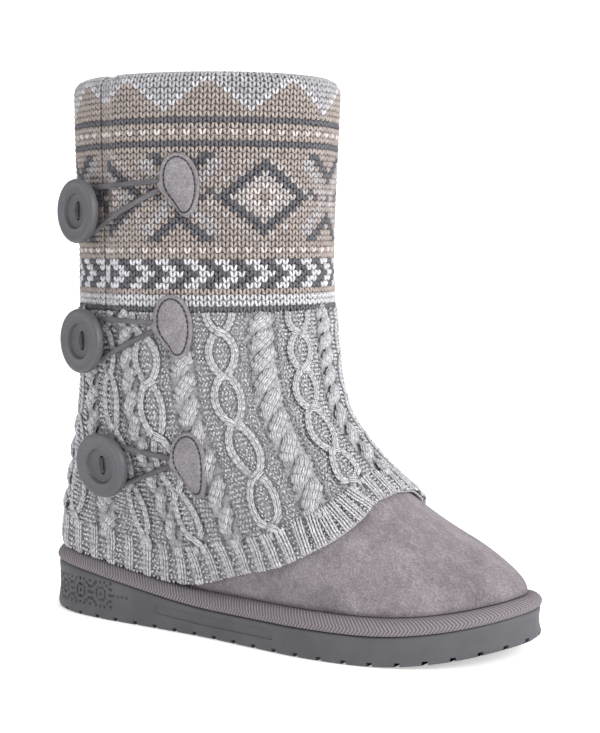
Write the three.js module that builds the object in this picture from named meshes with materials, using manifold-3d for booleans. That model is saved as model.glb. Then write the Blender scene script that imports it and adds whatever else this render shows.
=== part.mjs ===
// Mukluk boot for the right foot: a suede upper with an inner shaft, a knit sleeve turned over
// its collar, a rubber outsole, a tape-wrapped platform, an insole and three button fastenings.
// Millimetres, +Z up. The toe points along +X and the outer side of the foot faces -Y.
// The origin is on the floor under the middle of the shaft.
import * as THREE from 'three';
import { mergeVertices } from 'three/addons/utils/BufferGeometryUtils.js';
import Module from 'manifold-3d';

// Sole
const soleLength = 272;
const ballWidth = 94;
const heelWidth = 72;
const shaftSetback = 90; // from the shaft's middle to the back of the sole
const toeShift = 5.6; // the tip lies this far towards the inner side
const toeSpring = 9;
const springStart = 0.75; // share of the length where the sole leaves the floor
const rubberHeelHeight = 25;
const rubberForeHeight = 13.5;
const archStart = 0.02;
const archEnd = 0.46;

// Edge of the sole
const notchPitch = 12.9;
const notchWidth = 2.7;
const notchHeight = 2.2;
const notchDepth = 7;
const treadDepth = 1.8;
const treadWidth = 3.2;
const stripeHeight = 4.5;
const stripeDepth = 0.8;

// Platform
const wrapHeight = 7;
const wrapInset = 6; // from the sole's outline in to the foot of the upper

// Upper, sleeve and insole
const bootHeight = 274;
const shaftLength = 134;
const shaftWidth = 115;
const upperWall = 2.6;
const sleeveWall = 3.8;
const hemWall = 2.5;
const hemEase = 0.6; // the hem stands this much further off the upper
const hemFlare = 24; // height over which the sleeve thins towards the hem
const foldWall = 3.6; // knit turned down inside the collar
const foldLength = 20;
const rimRound = 6; // how far the rolled rim rises over the collar's edge
const insoleThickness = 3.5;
const hemFront = 40; // height of the hem over the platform, at the instep
const hemBack = 0.7;

// Fastenings
const buttonRadius = 16;
const buttonThickness = 5;
const buttonDish = 9.2;
const dishDepth = 1.7;
const buttonStandoff = 6.2; // knit to the back of the button
const holeRadius = 1.25;
const holeSpacing = 7;
const threadRadius = 0.8;
const cordRadius = 1.3;
const loopReach = 7.5;
const loopSpread = 11.5;
const cordSplit = 3.6; // between the two cord ends at the tab
const tabWidth = 18.5;
const tabHeight = 31;
const tabThickness = 2.6;
const tabNib = 2.4;
const tabTilt = 0.2; // radians, lower end towards the toe

// Clearances
const seatGap = 0.3;
const trimGap = 0.5; // between the knit's facets and what lies on them
const layerGap = 0.5;
const insoleGap = 0.9; // from the insole's edge to the upper's sloping inside

// Fineness
const soleSteps = 84;
const formSteps = 56;
const fineSteps = 480;

// Outline of the sole: along as a share of its length, each side as a share of the width there.
const outlineTable = [
  { along: 0.035, outer: 0.298, inner: 0.298 },
  { along: 0.09, outer: 0.433, inner: 0.42 },
  { along: 0.18, outer: 0.501, inner: 0.487 },
  { along: 0.3, outer: 0.5, inner: 0.448 },
  { along: 0.42, outer: 0.48, inner: 0.39 },
  { along: 0.54, outer: 0.49, inner: 0.41 },
  { along: 0.65, outer: 0.513, inner: 0.467 },
  { along: 0.75, outer: 0.503, inner: 0.498 },
  { along: 0.84, outer: 0.441, inner: 0.477 },
  { along: 0.92, outer: 0.316, inner: 0.399 },
  { along: 0.975, outer: 0.145, inner: 0.27 },
];

// Form of the foot and shaft, level by level. up: share of the rise from platform to collar.
// heel and front: ends of the level beyond the shaft's own half length, as shares of it, for
// front of the length of foot before the shaft. width: share of the shaft's width.
// foot: how far the level has the sole's outline instead of the shaft's oval.
const formTable = [
  { up: 0, heel: 0.254, front: 0.956, width: 0.713, foot: 1 },
  { up: 0.025, heel: 0.248, front: 0.929, width: 0.73, foot: 1 },
  { up: 0.06, heel: 0.224, front: 0.85, width: 0.73, foot: 0.97 },
  { up: 0.094, heel: 0.197, front: 0.732, width: 0.739, foot: 0.88 },
  { up: 0.131, heel: 0.164, front: 0.548, width: 0.757, foot: 0.7 },
  { up: 0.174, heel: 0.127, front: 0.364, width: 0.791, foot: 0.45 },
  { up: 0.22, heel: 0.09, front: 0.228, width: 0.835, foot: 0.22 },
  { up: 0.271, heel: 0.037, front: 0.123, width: 0.87, foot: 0.08 },
  { up: 0.33, heel: -0.015, front: 0.048, width: 0.904, foot: 0 },
  { up: 0.398, heel: -0.051, front: 0.009, width: 0.93, foot: 0 },
  { up: 0.53, heel: -0.045, front: -0.022, width: 0.957, foot: 0 },
  { up: 0.652, heel: -0.042, front: -0.031, width: 0.965, foot: 0 },
  { up: 0.914, heel: 0, front: -0.009, width: 1, foot: 0 },
  { up: 1, heel: 0.007, front: 0, width: 1.009, foot: 0 },
];

// Hem of the sleeve: around is 0 at the heel and 1 at the toe; rise is a share of the way
// from the hem's height at the back to its height at the front.
const hemTable = [
  { around: 0, rise: 0 },
  { around: 0.3, rise: 0 },
  { around: 0.38, rise: 0.032 },
  { around: 0.45, rise: 0.155 },
  { around: 0.53, rise: 0.295 },
  { around: 0.6, rise: 0.387 },
  { around: 0.69, rise: 0.546 },
  { around: 0.78, rise: 0.69 },
  { around: 0.86, rise: 0.835 },
  { around: 0.93, rise: 0.96 },
  { around: 1, rise: 1 },
];

// Levels of the faceted upper and sleeve, as shares of the rise from platform to collar.
const levelShares = [0, 0.03, 0.065, 0.1, 0.135, 0.17, 0.205, 0.245, 0.29, 0.34, 0.41, 0.53, 0.66, 0.83, 1];
const innerLevelShares = [0, 0.03, 0.08, 0.13, 0.18, 0.23, 0.29, 0.37, 0.53, 0.75, 1];

// Fastenings: places on the sleeve, as a share of the way round from the heel by the outer
// side, and as a share of the rise to the collar. turn and level: how far a button hangs round
// towards the toe, in radians, and how much of the knit's lean it loses.
const fastenings = [
  { name: 'top', buttonAround: 0.172, buttonUp: 0.744, turn: 0.12, level: 0.5, tabAround: 0.315, tabUp: 0.795 },
  { name: 'middle', buttonAround: 0.172, buttonUp: 0.473, turn: 0.15, level: 0.5, tabAround: 0.303, tabUp: 0.506 },
  { name: 'bottom', buttonAround: 0.178, buttonUp: 0.221, turn: 0.16, level: 0.6, tabAround: 0.289, tabUp: 0.232 },
];

const wasm = await Module();
wasm.setup();

function smooth(start, end, value) {
  return THREE.MathUtils.smoothstep(value, start, end);
}

// Smooth reading of one named column against another, with no overshoot between the rows.
function makeColumn(rows, key, value) {
  const x = rows.map((row) => row[key]);
  const y = rows.map((row) => row[value]);
  const last = x.length - 1;
  const rate = y.slice(1).map((next, i) => (next - y[i]) / (x[i + 1] - x[i]));
  const slope = y.map((_, i) => {
    if (i === 0) return rate[0];
    if (i === last) return rate[last - 1];
    if (rate[i - 1] * rate[i] <= 0) return 0;
    return (2 * rate[i - 1] * rate[i]) / (rate[i - 1] + rate[i]);
  });
  return (at) => {
    const clamped = THREE.MathUtils.clamp(at, x[0], x[last]);
    let i = 0;
    while (i < last - 1 && clamped > x[i + 1]) i += 1;
    const span = x[i + 1] - x[i];
    const t = (clamped - x[i]) / span;
    const rest = 1 - t;
    return (
      y[i] * (1 + 2 * t) * rest * rest +
      slope[i] * span * t * rest * rest +
      y[i + 1] * (3 - 2 * t) * t * t -
      slope[i + 1] * span * t * t * rest
    );
  };
}

// Evenly spaced points on the closed curve through the given ones.
function evenLoop(points, count) {
  const curve = new THREE.CatmullRomCurve3(points, true, 'centripetal');
  curve.arcLengthDivisions = 4 * fineSteps;
  return curve.getSpacedPoints(count).slice(0, count);
}

// The loop moved outwards in plan by a distance, or inwards by a negative one.
function offsetLoop(loop, distance) {
  const count = loop.length;
  return loop.map((point, i) => {
    const next = loop[(i + 1) % count];
    const before = loop[(i + count - 1) % count];
    const out = new THREE.Vector3(next.y - before.y, before.x - next.x, 0).normalize();
    return point.clone().addScaledVector(out, distance);
  });
}

function soleOutline() {
  const widthAt = (along) => THREE.MathUtils.lerp(heelWidth, ballWidth, smooth(0.18, 0.65, along));
  const place = (along, side) =>
    new THREE.Vector3(along * soleLength - shaftSetback, side * widthAt(along), 0);
  const outer = outlineTable.map((row) => place(row.along, -row.outer));
  const inner = outlineTable.map((row) => place(row.along, row.inner)).reverse();
  const tip = new THREE.Vector3(soleLength - shaftSetback, toeShift, 0);
  return [place(0, 0), ...outer, tip, ...inner];
}

const outline = evenLoop(soleOutline(), soleSteps);

function alongSole(x) {
  return (x + shaftSetback) / soleLength;
}

function bottomHeight(x) {
  const past = Math.max(0, (alongSole(x) - springStart) / (1 - springStart));
  return toeSpring * past * past;
}

function rubberTop(x) {
  const fall = smooth(archStart, archEnd, alongSole(x));
  return THREE.MathUtils.lerp(rubberHeelHeight, rubberForeHeight, fall) + bottomHeight(x);
}

function platformTop(x) {
  return rubberTop(x) + seatGap + wrapHeight;
}

// Geometry from rings of points, joined one to the next. The ends are closed by strips that
// run across the loop, or the last ring joins the first. Each four-sided facet is split the
// same way whether the rings climb or fall, so nested layers keep their gap.
function ringSolid(rings, endless) {
  const count = rings[0].length;
  const faces = [];
  const spans = endless ? rings.length : rings.length - 1;
  for (let r = 0; r < spans; r += 1) {
    const low = r * count;
    const high = ((r + 1) % rings.length) * count;
    for (let i = 0; i < count; i += 1) {
      const j = (i + 1) % count;
      if (rings[(r + 1) % rings.length][i].z < rings[r][i].z) {
        faces.push(low + i, low + j, high + i, low + j, high + j, high + i);
      } else {
        faces.push(low + i, low + j, high + j, low + i, high + j, high + i);
      }
    }
  }
  if (!endless) {
    const top = (rings.length - 1) * count;
    for (let i = 0; i < count / 2; i += 1) {
      const j = (count - i) % count;
      const before = count - i - 1;
      if (i > 0) faces.push(i, j, i + 1, top + i, top + i + 1, top + j);
      if (before > i + 1) faces.push(j, before, i + 1, top + j, top + i + 1, top + before);
    }
  }
  const geometry = new THREE.BufferGeometry();
  const numbers = rings.flat().flatMap((point) => point.toArray());
  geometry.setAttribute('position', new THREE.Float32BufferAttribute(numbers, 3));
  geometry.setIndex(faces);
  return geometry;
}

function toManifold(geometry) {
  const bare = geometry.clone();
  bare.deleteAttribute('normal');
  bare.deleteAttribute('uv');
  const merged = mergeVertices(bare);
  return new wasm.Manifold(
    new wasm.Mesh({
      numProp: 3,
      vertProperties: new Float32Array(merged.attributes.position.array),
      triVerts: new Uint32Array(merged.index.array),
    }),
  );
}

function fromManifold(solid) {
  const mesh = solid.getMesh();
  const geometry = new THREE.BufferGeometry();
  geometry.setAttribute('position', new THREE.Float32BufferAttribute(mesh.vertProperties, 3));
  geometry.setIndex(Array.from(mesh.triVerts));
  return geometry;
}

// One solid less a list of cutting geometries.
function cut(geometry, cutters) {
  const tools = cutters.map(toManifold);
  return fromManifold(toManifold(geometry).subtract(wasm.Manifold.union(tools)));
}

const paint = {
  rubber: { color: 0x5f5f63, roughness: 0.75, metalness: 0 },
  tape: { color: 0x77757a, roughness: 0.9, metalness: 0 },
  suede: { color: 0x968e92, roughness: 0.95, metalness: 0 },
  knit: { color: 0xb3b2b6, roughness: 1, metalness: 0 },
  fleece: { color: 0xc9c5c2, roughness: 1, metalness: 0 },
  button: { color: 0x55565a, roughness: 0.55, metalness: 0 },
  thread: { color: 0x3a3a3e, roughness: 0.9, metalness: 0 },
  cord: { color: 0x6a696e, roughness: 0.85, metalness: 0 },
};

const boot = new THREE.Group();

function addMesh(name, geometry, finish) {
  geometry.computeVertexNormals();
  const mesh = new THREE.Mesh(geometry, new THREE.MeshStandardMaterial(paint[finish]));
  mesh.name = name;
  boot.add(mesh);
  return mesh;
}

// Outsole. The side is a little hollow and flares out to a rounded lower edge.
// across: from the outline outwards, in millimetres; up: share of the side's height.
const rubberSide = [
  { across: -1.8, up: 0 },
  { across: -0.4, up: 0.05 },
  { across: 0, up: 0.13 },
  { across: -0.9, up: 0.5 },
  { across: -0.4, up: 0.92 },
  { across: -1, up: 1 },
];

function outsoleBody() {
  const rings = rubberSide.map((row) =>
    offsetLoop(outline, row.across).map((point) => {
      const low = bottomHeight(point.x);
      const high = rubberTop(point.x);
      return point.setZ(THREE.MathUtils.lerp(low, high, row.up));
    }),
  );
  return ringSolid(rings, false);
}

// Box on the sole's outline at a share of the way round, turned to face outwards.
function edgeBox(share, width, depth, low, high) {
  const at = (share * soleSteps) % soleSteps;
  const index = Math.floor(at);
  const here = outline[index];
  const next = outline[(index + 1) % soleSteps];
  const middle = here.clone().lerp(next, at - index);
  const box = new THREE.BoxGeometry(width, depth, high - low);
  box.rotateZ(Math.atan2(next.y - here.y, next.x - here.x));
  box.translate(middle.x, middle.y, (low + high) / 2 + bottomHeight(middle.x));
  return box;
}

function edgeNotches() {
  const around = outline.reduce((sum, point, i) => sum + point.distanceTo(outline[(i + 1) % soleSteps]), 0);
  const count = Math.round(around / notchPitch);
  return Array.from({ length: count }, (_, i) =>
    edgeBox((i + 0.1) / count, notchWidth, 2 * notchDepth, -notchHeight, notchHeight),
  );
}

// Grooves across the tread, between the lugs of the heel and of the forefoot.
function treadGrooves() {
  const rows = [
    { from: 0.08, to: 0.3, count: 5 },
    { from: 0.5, to: 0.9, count: 8 },
  ];
  const inside = 2 * (notchDepth + notchWidth);
  return rows.flatMap(({ from, to, count }) =>
    Array.from({ length: count }, (_, i) => {
      const along = from + ((to - from) * (i + 0.5)) / count;
      const x = along * soleLength - shaftSetback;
      const near = outline.filter((point) => Math.abs(point.x - x) < soleLength / soleSteps + 2);
      const sides = near.map((point) => point.y);
      const width = Math.max(...sides) - Math.min(...sides) - inside;
      const groove = new THREE.BoxGeometry(treadWidth, width, 2 * treadDepth);
      groove.translate(x, (Math.max(...sides) + Math.min(...sides)) / 2, bottomHeight(x));
      return groove;
    }),
  );
}

// Shallow stripe let into each side at the waist, following the outline.
function sideStripe(start, end) {
  const steps = 10;
  const section = (share) => {
    const at = (share * soleSteps + soleSteps) % soleSteps;
    const index = Math.floor(at);
    const next = (index + 1) % soleSteps;
    const outside = offsetLoop(outline, 2);
    const inside = offsetLoop(outline, -stripeDepth - 0.9);
    const out = outside[index].clone().lerp(outside[next], at - index);
    const inn = inside[index].clone().lerp(inside[next], at - index);
    const middle = THREE.MathUtils.lerp(bottomHeight(out.x), rubberTop(out.x), 0.6);
    const low = middle - stripeHeight / 2;
    const high = middle + stripeHeight / 2;
    return [
      inn.clone().setZ(low),
      inn.clone().setZ(high),
      out.clone().setZ(high),
      out.clone().setZ(low),
    ];
  };
  const rings = Array.from({ length: steps + 1 }, (_, i) =>
    section(THREE.MathUtils.lerp(start, end, i / steps)),
  );
  return ringSolid(rings, false);
}

const outsole = cut(outsoleBody(), [...edgeNotches(), ...treadGrooves(), sideStripe(0.165, 0.285)]);
addMesh('outsole', outsole, 'rubber');

// Platform slab with its rounded wrapped edge. across as a share of the inset to the upper,
// up as a share of the wrap's height.
const wrapSide = [
  { across: 0.2, up: 0 },
  { across: -0.02, up: 0.12 },
  { across: -0.08, up: 0.32 },
  { across: 0.08, up: 0.6 },
  { across: 0.38, up: 0.84 },
  { across: 0.72, up: 0.97 },
  { across: 1.15, up: 1 },
];

function platformSlab() {
  const rings = wrapSide.map((row) =>
    offsetLoop(outline, -row.across * wrapInset).map((point) =>
      point.setZ(rubberTop(point.x) + seatGap + row.up * wrapHeight),
    ),
  );
  return ringSolid(rings, false);
}

addMesh('platform_wrap', platformSlab(), 'tape');

// Form of the foot and shaft.
function normalised(loop) {
  const box = new THREE.Box3().setFromPoints(loop);
  const size = box.getSize(new THREE.Vector3());
  return loop.map((point) =>
    new THREE.Vector3((point.x - box.min.x) / size.x, (2 * point.y) / size.y, 0),
  );
}

function ovalPoints() {
  return Array.from({ length: formSteps }, (_, i) => {
    const angle = (2 * Math.PI * i) / formSteps;
    return new THREE.Vector3(-shaftLength * Math.cos(angle), -shaftWidth * Math.sin(angle), 0);
  });
}

const footLine = evenLoop(soleOutline(), fineSteps);
const footLoop = normalised(evenLoop(offsetLoop(footLine, -wrapInset), fineSteps));
const ovalLoop = normalised(evenLoop(ovalPoints(), fineSteps));
const heelEnd = makeColumn(formTable, 'up', 'heel');
const frontEnd = makeColumn(formTable, 'up', 'front');
const levelWidth = makeColumn(formTable, 'up', 'width');
const footShare = makeColumn(formTable, 'up', 'foot');
const hemRise = makeColumn(hemTable, 'around', 'rise');

const footBack = wrapInset - shaftSetback;
const platformBack = platformTop(footBack);
const collarHeight = bootHeight - rimRound;
const collarRise = collarHeight - platformBack;
const halfShaft = shaftLength / 2;
const foreFoot = soleLength - shaftSetback - halfShaft;
const slopeFade = 55; // the levels lie flat from this height over the platform
const levelReach = 12; // height over the platform in which the walls turn upright
const slopeReach = 3; // half the height over which a wall's slope is measured

function sampleLoop(loop, around) {
  const at = (((around % 1) + 1) % 1) * loop.length;
  const index = Math.floor(at) % loop.length;
  return loop[index].clone().lerp(loop[(index + 1) % loop.length], at - Math.floor(at));
}

// Point of the upper's outer face, at a share of the way round and a height over the platform.
function facePoint(around, rise) {
  const up = rise / collarRise;
  const back = -halfShaft * (1 + heelEnd(up));
  const front = halfShaft + foreFoot * frontEnd(up);
  const shape = sampleLoop(ovalLoop, around).lerp(sampleLoop(footLoop, around), footShare(up));
  const x = THREE.MathUtils.lerp(back, front, shape.x);
  const y = (shape.y * shaftWidth * levelWidth(up)) / 2;
  const fade = 1 - smooth(0, slopeFade, rise);
  const z = platformBack + rise + (platformTop(x) - platformBack) * fade;
  return new THREE.Vector3(x, y, z);
}

// Outward direction there, turned level near the platform.
function faceNormal(around, rise) {
  const step = 1 / formSteps;
  const alongLoop = facePoint(around + step, rise).sub(facePoint(around - step, rise));
  const low = Math.max(0, rise - slopeReach);
  const high = Math.min(collarRise, rise + slopeReach);
  const upLoop = facePoint(around, high).sub(facePoint(around, low));
  const normal = alongLoop.cross(upLoop).normalize();
  normal.z *= smooth(0, levelReach, rise);
  return normal.normalize();
}

// Point of a layer that lies off the upper's outer face by a distance.
function layerPoint(around, rise, off) {
  return facePoint(around, rise).addScaledVector(faceNormal(around, rise), off);
}

function layerRing(riseAt, offAt) {
  return Array.from({ length: formSteps }, (_, i) => {
    const around = i / formSteps;
    return layerPoint(around, riseAt(around), offAt(around));
  });
}

// Upper: one hollow solid, open at the collar and underneath.
function upperShell() {
  const riseOf = (share) => () => Math.max(seatGap, share * collarRise);
  const outer = levelShares.map((share) => layerRing(riseOf(share), () => 0));
  const inner = innerLevelShares.map((share) => layerRing(riseOf(share), () => -upperWall)).reverse();
  return ringSolid([...outer, ...inner], true);
}

addMesh('upper', upperShell(), 'suede');

// Sleeve: up the outside, over the collar's edge and a short way down inside it.
function hemHeight(around) {
  const fromHeel = 1 - Math.abs(1 - 2 * around);
  return THREE.MathUtils.lerp(hemBack, hemFront, hemRise(fromHeel));
}

function sleeveRise(share, index) {
  const squeeze = 1.6;
  return (around) => Math.max(share * collarRise, hemHeight(around) + index * squeeze);
}

// How much of its full thickness the sleeve has, at a height over the platform.
function fullness(around, rise) {
  return smooth(0, hemFlare, rise - hemHeight(around));
}

function sleeveInner(around, rise) {
  return layerGap + hemEase * (1 - fullness(around, rise));
}

function sleeveOuter(around, rise) {
  const wall = THREE.MathUtils.lerp(hemWall, sleeveWall, fullness(around, rise));
  return sleeveInner(around, rise) + wall;
}

function sleeveRing(share, index, offAt) {
  const riseAt = sleeveRise(share, index);
  return layerRing(riseAt, (around) => offAt(around, riseAt(around)));
}

function levelRing(rise, off) {
  return layerRing(() => rise, () => off);
}

// Ring over the collar's edge: across from the upper's face, up from the collar.
function rimRing(off, up) {
  return levelRing(collarRise, off).map((point) => point.setZ(point.z + up));
}

function rimArc(fromOff, toOff, height, steps) {
  const middle = (fromOff + toOff) / 2;
  const half = (fromOff - toOff) / 2;
  return Array.from({ length: steps - 1 }, (_, i) => {
    const angle = (Math.PI * (i + 1)) / steps;
    return rimRing(middle + half * Math.cos(angle), height * Math.sin(angle));
  });
}

function knitSleeve() {
  const outerOff = layerGap + sleeveWall;
  const foldOff = -upperWall - layerGap;
  const innerOff = foldOff - foldWall;
  const foldRise = collarRise - foldLength;
  const outside = levelShares.map((share, i) => sleeveRing(share, i, sleeveOuter));
  const inside = levelShares.map((share, i) => sleeveRing(share, i, sleeveInner)).reverse();
  const lining = [collarRise, foldRise].map((rise) => levelRing(rise, innerOff));
  const behind = [foldRise, collarRise].map((rise) => levelRing(rise, foldOff));
  const rings = [
    ...outside,
    ...rimArc(outerOff, innerOff, rimRound, 5),
    ...lining,
    ...behind,
    ...rimArc(foldOff, layerGap, layerGap * 2, 3),
    ...inside,
  ];
  return ringSolid(rings, true);
}

addMesh('knit_sleeve', knitSleeve(), 'knit');

// Insole inside the upper, on the platform.
function insolePad() {
  const off = -upperWall - insoleGap;
  const low = levelRing(seatGap, off);
  const high = levelRing(seatGap + insoleThickness, off);
  return ringSolid([low, high], false);
}

addMesh('insole', insolePad(), 'fleece');

// Fastenings. A spot on the knit is a share of the way round and a height over the platform.
function knitPoint(spot, lift) {
  return layerPoint(spot.around, spot.rise, sleeveOuter(spot.around, spot.rise) + lift);
}

// Level directions at a spot: across towards the toe, up and out of the knit.
function knitAxes(spot) {
  const out = faceNormal(spot.around, spot.rise);
  const up = new THREE.Vector3(0, 0, 1).addScaledVector(out, -out.z).normalize();
  return { across: up.clone().cross(out), up, out };
}

// The spot that lies a given number of millimetres across and up from another.
function nearSpot(spot, across, up) {
  const step = { around: 0.5 / formSteps, rise: 2 };
  const axes = knitAxes(spot);
  const change = (ahead, behind) => {
    const moved = knitPoint(ahead, 0).sub(knitPoint(behind, 0));
    return { across: moved.dot(axes.across), up: moved.dot(axes.up) };
  };
  const shifted = (around, rise) => ({ around: spot.around + around, rise: spot.rise + rise });
  const byAround = change(shifted(step.around, 0), shifted(-step.around, 0));
  const byRise = change(shifted(0, step.rise), shifted(0, -step.rise));
  const area = byAround.across * byRise.up - byAround.up * byRise.across;
  const around = (across * byRise.up - up * byRise.across) / area;
  const rise = (up * byAround.across - across * byAround.up) / area;
  return shifted(2 * step.around * around, 2 * step.rise * rise);
}

// Frame in which a button hangs: turned towards the toe and more upright than the knit.
function buttonFrame(spot, turn, level) {
  const out = knitAxes(spot).out;
  out.z *= 1 - level;
  out.normalize().applyAxisAngle(new THREE.Vector3(0, 0, 1), turn);
  const up = new THREE.Vector3(0, 0, 1).addScaledVector(out, -out.z).normalize();
  const across = up.clone().cross(out);
  return new THREE.Matrix4().makeBasis(across, up, out).setPosition(knitPoint(spot, 0));
}

const buttonProfile = [
  { radius: 0, height: 0 },
  { radius: 0.82, height: 0 },
  { radius: 1, height: 0.35 },
  { radius: 0.98, height: 0.85 },
  { radius: 0.9, height: 1 },
  { radius: 0.72, height: 0.94 },
];

function buttonDisc() {
  const floor = buttonThickness - dishDepth;
  const points = [
    ...buttonProfile.map(({ radius, height }) =>
      new THREE.Vector2(radius * buttonRadius, height * buttonThickness),
    ),
    new THREE.Vector2(buttonDish, buttonThickness - 0.5),
    new THREE.Vector2(buttonDish - dishDepth, floor),
    new THREE.Vector2(0, floor),
  ];
  const disc = new THREE.LatheGeometry(points, 26);
  disc.rotateX(Math.PI / 2);
  disc.translate(0, 0, buttonStandoff);
  const holes = [-1, 1].map((side) => {
    const hole = new THREE.CylinderGeometry(holeRadius, holeRadius, 4 * buttonThickness, 8);
    hole.rotateX(Math.PI / 2);
    hole.translate(0, (side * holeSpacing) / 2, buttonStandoff + buttonThickness / 2);
    return hole;
  });
  return cut(disc, holes);
}

function roundSection(radius) {
  const corners = Array.from({ length: 8 }, (_, i) => {
    const angle = (2 * Math.PI * (i + 0.5)) / 8;
    return new THREE.Vector2(radius * Math.cos(angle), radius * Math.sin(angle));
  });
  return new THREE.Shape(corners);
}

function tubeAlong(points, radius, steps) {
  const curve = new THREE.CatmullRomCurve3(points, false, 'centripetal');
  return new THREE.ExtrudeGeometry(roundSection(radius), { extrudePath: curve, steps });
}

// Thread: out of the knit, through one hole, across the dish and back through the other.
function buttonThread(spot, frame) {
  const side = holeSpacing / 2;
  const inFrame = frame.clone().invert();
  const low = (up) => knitPoint(nearSpot(spot, 0, up), trimGap + seatGap).applyMatrix4(inFrame).z;
  const floor = buttonStandoff + buttonThickness - dishDepth;
  const top = floor + threadRadius + seatGap;
  const bend = 1.2;
  return tubeAlong(
    [
      new THREE.Vector3(0, side, low(side)),
      new THREE.Vector3(0, side, buttonStandoff),
      new THREE.Vector3(0, side, floor - bend),
      new THREE.Vector3(0, side - bend / 3, top - bend / 4),
      new THREE.Vector3(0, side - 2 * bend, top),
      new THREE.Vector3(0, 0, top + seatGap),
      new THREE.Vector3(0, 2 * bend - side, top),
      new THREE.Vector3(0, bend / 3 - side, top - bend / 4),
      new THREE.Vector3(0, -side, floor - bend),
      new THREE.Vector3(0, -side, buttonStandoff),
      new THREE.Vector3(0, -side, low(-side)),
    ],
    threadRadius,
    18,
  );
}

// Edge of a tab, in millimetres across and up from its middle. Its nib points to the button.
function tabEdge(share, scale) {
  const angle = 2 * Math.PI * share;
  const up = Math.sin(angle);
  const egg = 1 + 0.16 * up;
  const nib = tabNib * Math.exp(-(((angle - Math.PI) / 0.2) ** 2));
  const across = (tabWidth / 2) * Math.cos(angle) * egg - nib;
  const point = new THREE.Vector2(across * scale, (tabHeight / 2) * up * scale);
  return point.rotateAround(new THREE.Vector2(), tabTilt * (1 - nib / tabNib));
}

function tabPlate(spot) {
  const sides = 24;
  const ring = (scale, lift) =>
    Array.from({ length: sides }, (_, i) => {
      const edge = tabEdge(i / sides, scale);
      return knitPoint(nearSpot(spot, edge.x, edge.y), trimGap + lift);
    });
  const rings = [
    ring(0.5, 0),
    ring(1, 0),
    ring(1, tabThickness * 0.7),
    ring(0.94, tabThickness),
    ring(0.5, tabThickness),
  ];
  return ringSolid(rings, false);
}

// Elastic cord: from the tab's nib round behind the button and back to the nib.
function cordLoop(button, tab) {
  const lift = trimGap + cordRadius;
  const nib = (side) => nearSpot(tab, -tabWidth / 2 - tabNib - seatGap, (side * cordSplit) / 2);
  const turn = (angle) =>
    nearSpot(button, loopReach * Math.cos(angle), loopSpread * Math.sin(angle));
  const blend = (from, to, share) => ({
    around: THREE.MathUtils.lerp(from.around, to.around, share),
    rise: THREE.MathUtils.lerp(from.rise, to.rise, share),
  });
  const strand = (side) => {
    const near = nib(side);
    const far = turn((side * Math.PI) / 2.4);
    return [near, blend(near, far, 0.35), blend(near, far, 0.7), far];
  };
  const behind = [0.6, 0.8, 1, 1.2, 1.4].map((share) => turn(share * Math.PI));
  const route = [...strand(1), ...behind, ...strand(-1).reverse()];
  const points = route.map((spot) => knitPoint(spot, lift));
  const length = points.slice(1).reduce((sum, point, i) => sum + point.distanceTo(points[i]), 0);
  return tubeAlong(points, cordRadius, Math.round(length / (4 * cordRadius)));
}

for (const row of fastenings) {
  const button = { around: row.buttonAround, rise: row.buttonUp * collarRise };
  const tab = { around: row.tabAround, rise: row.tabUp * collarRise };
  const frame = buttonFrame(button, row.turn, row.level);
  addMesh(`button_${row.name}`, buttonDisc(), 'button').applyMatrix4(frame);
  addMesh(`button_thread_${row.name}`, buttonThread(button, frame), 'thread').applyMatrix4(frame);
  addMesh(`tab_${row.name}`, tabPlate(tab), 'suede');
  addMesh(`loop_${row.name}`, cordLoop(button, tab), 'cord');
}

export default boot;
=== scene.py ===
"""Looks of a mukluk boot: suede foot, stranded and cabled knit sleeve, rubber sole, buttons.

Lengths are in millimetres until a mesh is made. +X points to the toe, -Y to the outer side of
the foot and +Z up, with the origin on the floor under the middle of the shaft. A place on the
foot and shaft is given by a share of the way round, from the heel by the outer side, and by a
rise over the platform.
"""
import logging
import math
from collections.abc import Callable, Sequence
from dataclasses import dataclass, field
from enum import Enum
from functools import cache

import bpy
import numpy as np
from mathutils import Matrix, Vector


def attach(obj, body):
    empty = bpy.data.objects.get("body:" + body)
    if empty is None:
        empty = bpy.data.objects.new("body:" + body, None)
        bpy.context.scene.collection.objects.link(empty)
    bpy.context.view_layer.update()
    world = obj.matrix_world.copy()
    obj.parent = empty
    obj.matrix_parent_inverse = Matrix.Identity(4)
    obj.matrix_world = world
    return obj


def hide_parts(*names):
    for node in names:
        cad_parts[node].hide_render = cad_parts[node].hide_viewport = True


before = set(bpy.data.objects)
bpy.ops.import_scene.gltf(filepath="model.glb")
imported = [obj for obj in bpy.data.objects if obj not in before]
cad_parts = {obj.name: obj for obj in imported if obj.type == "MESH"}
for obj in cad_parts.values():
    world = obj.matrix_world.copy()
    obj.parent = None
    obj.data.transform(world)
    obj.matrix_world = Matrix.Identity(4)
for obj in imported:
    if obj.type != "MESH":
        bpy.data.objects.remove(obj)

logging.basicConfig(level=logging.INFO, format="%(message)s")
log = logging.getLogger("boot")

MM = 0.001
TURN = 2 * math.pi
CLOTH_COLUMNS = 480
# Painted shade: tone of what lies under the stitches, the ground sheets and the cable cores, against their
# own.
PAINTED_SHADE_UNDER = 0.62

Array = np.ndarray
Values = float | np.ndarray
Along = Callable[[np.ndarray], np.ndarray]
Socket = bpy.types.NodeSocket


def smooth(start: float, end: float, value: Values) -> Array:
    """Cubic step from 0 at start to 1 at end."""
    t = np.clip((np.asarray(value, float) - start) / (end - start), 0, 1)
    return t * t * (3 - 2 * t)


def mix(a: Values, b: Values, t: Values) -> Values:
    """Straight blend of a and b."""
    return a + (b - a) * t


def unit(vectors: Array) -> Array:
    """Vectors of length 1."""
    return vectors / np.maximum(np.linalg.norm(vectors, axis=-1, keepdims=True), 1e-9)


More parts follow.
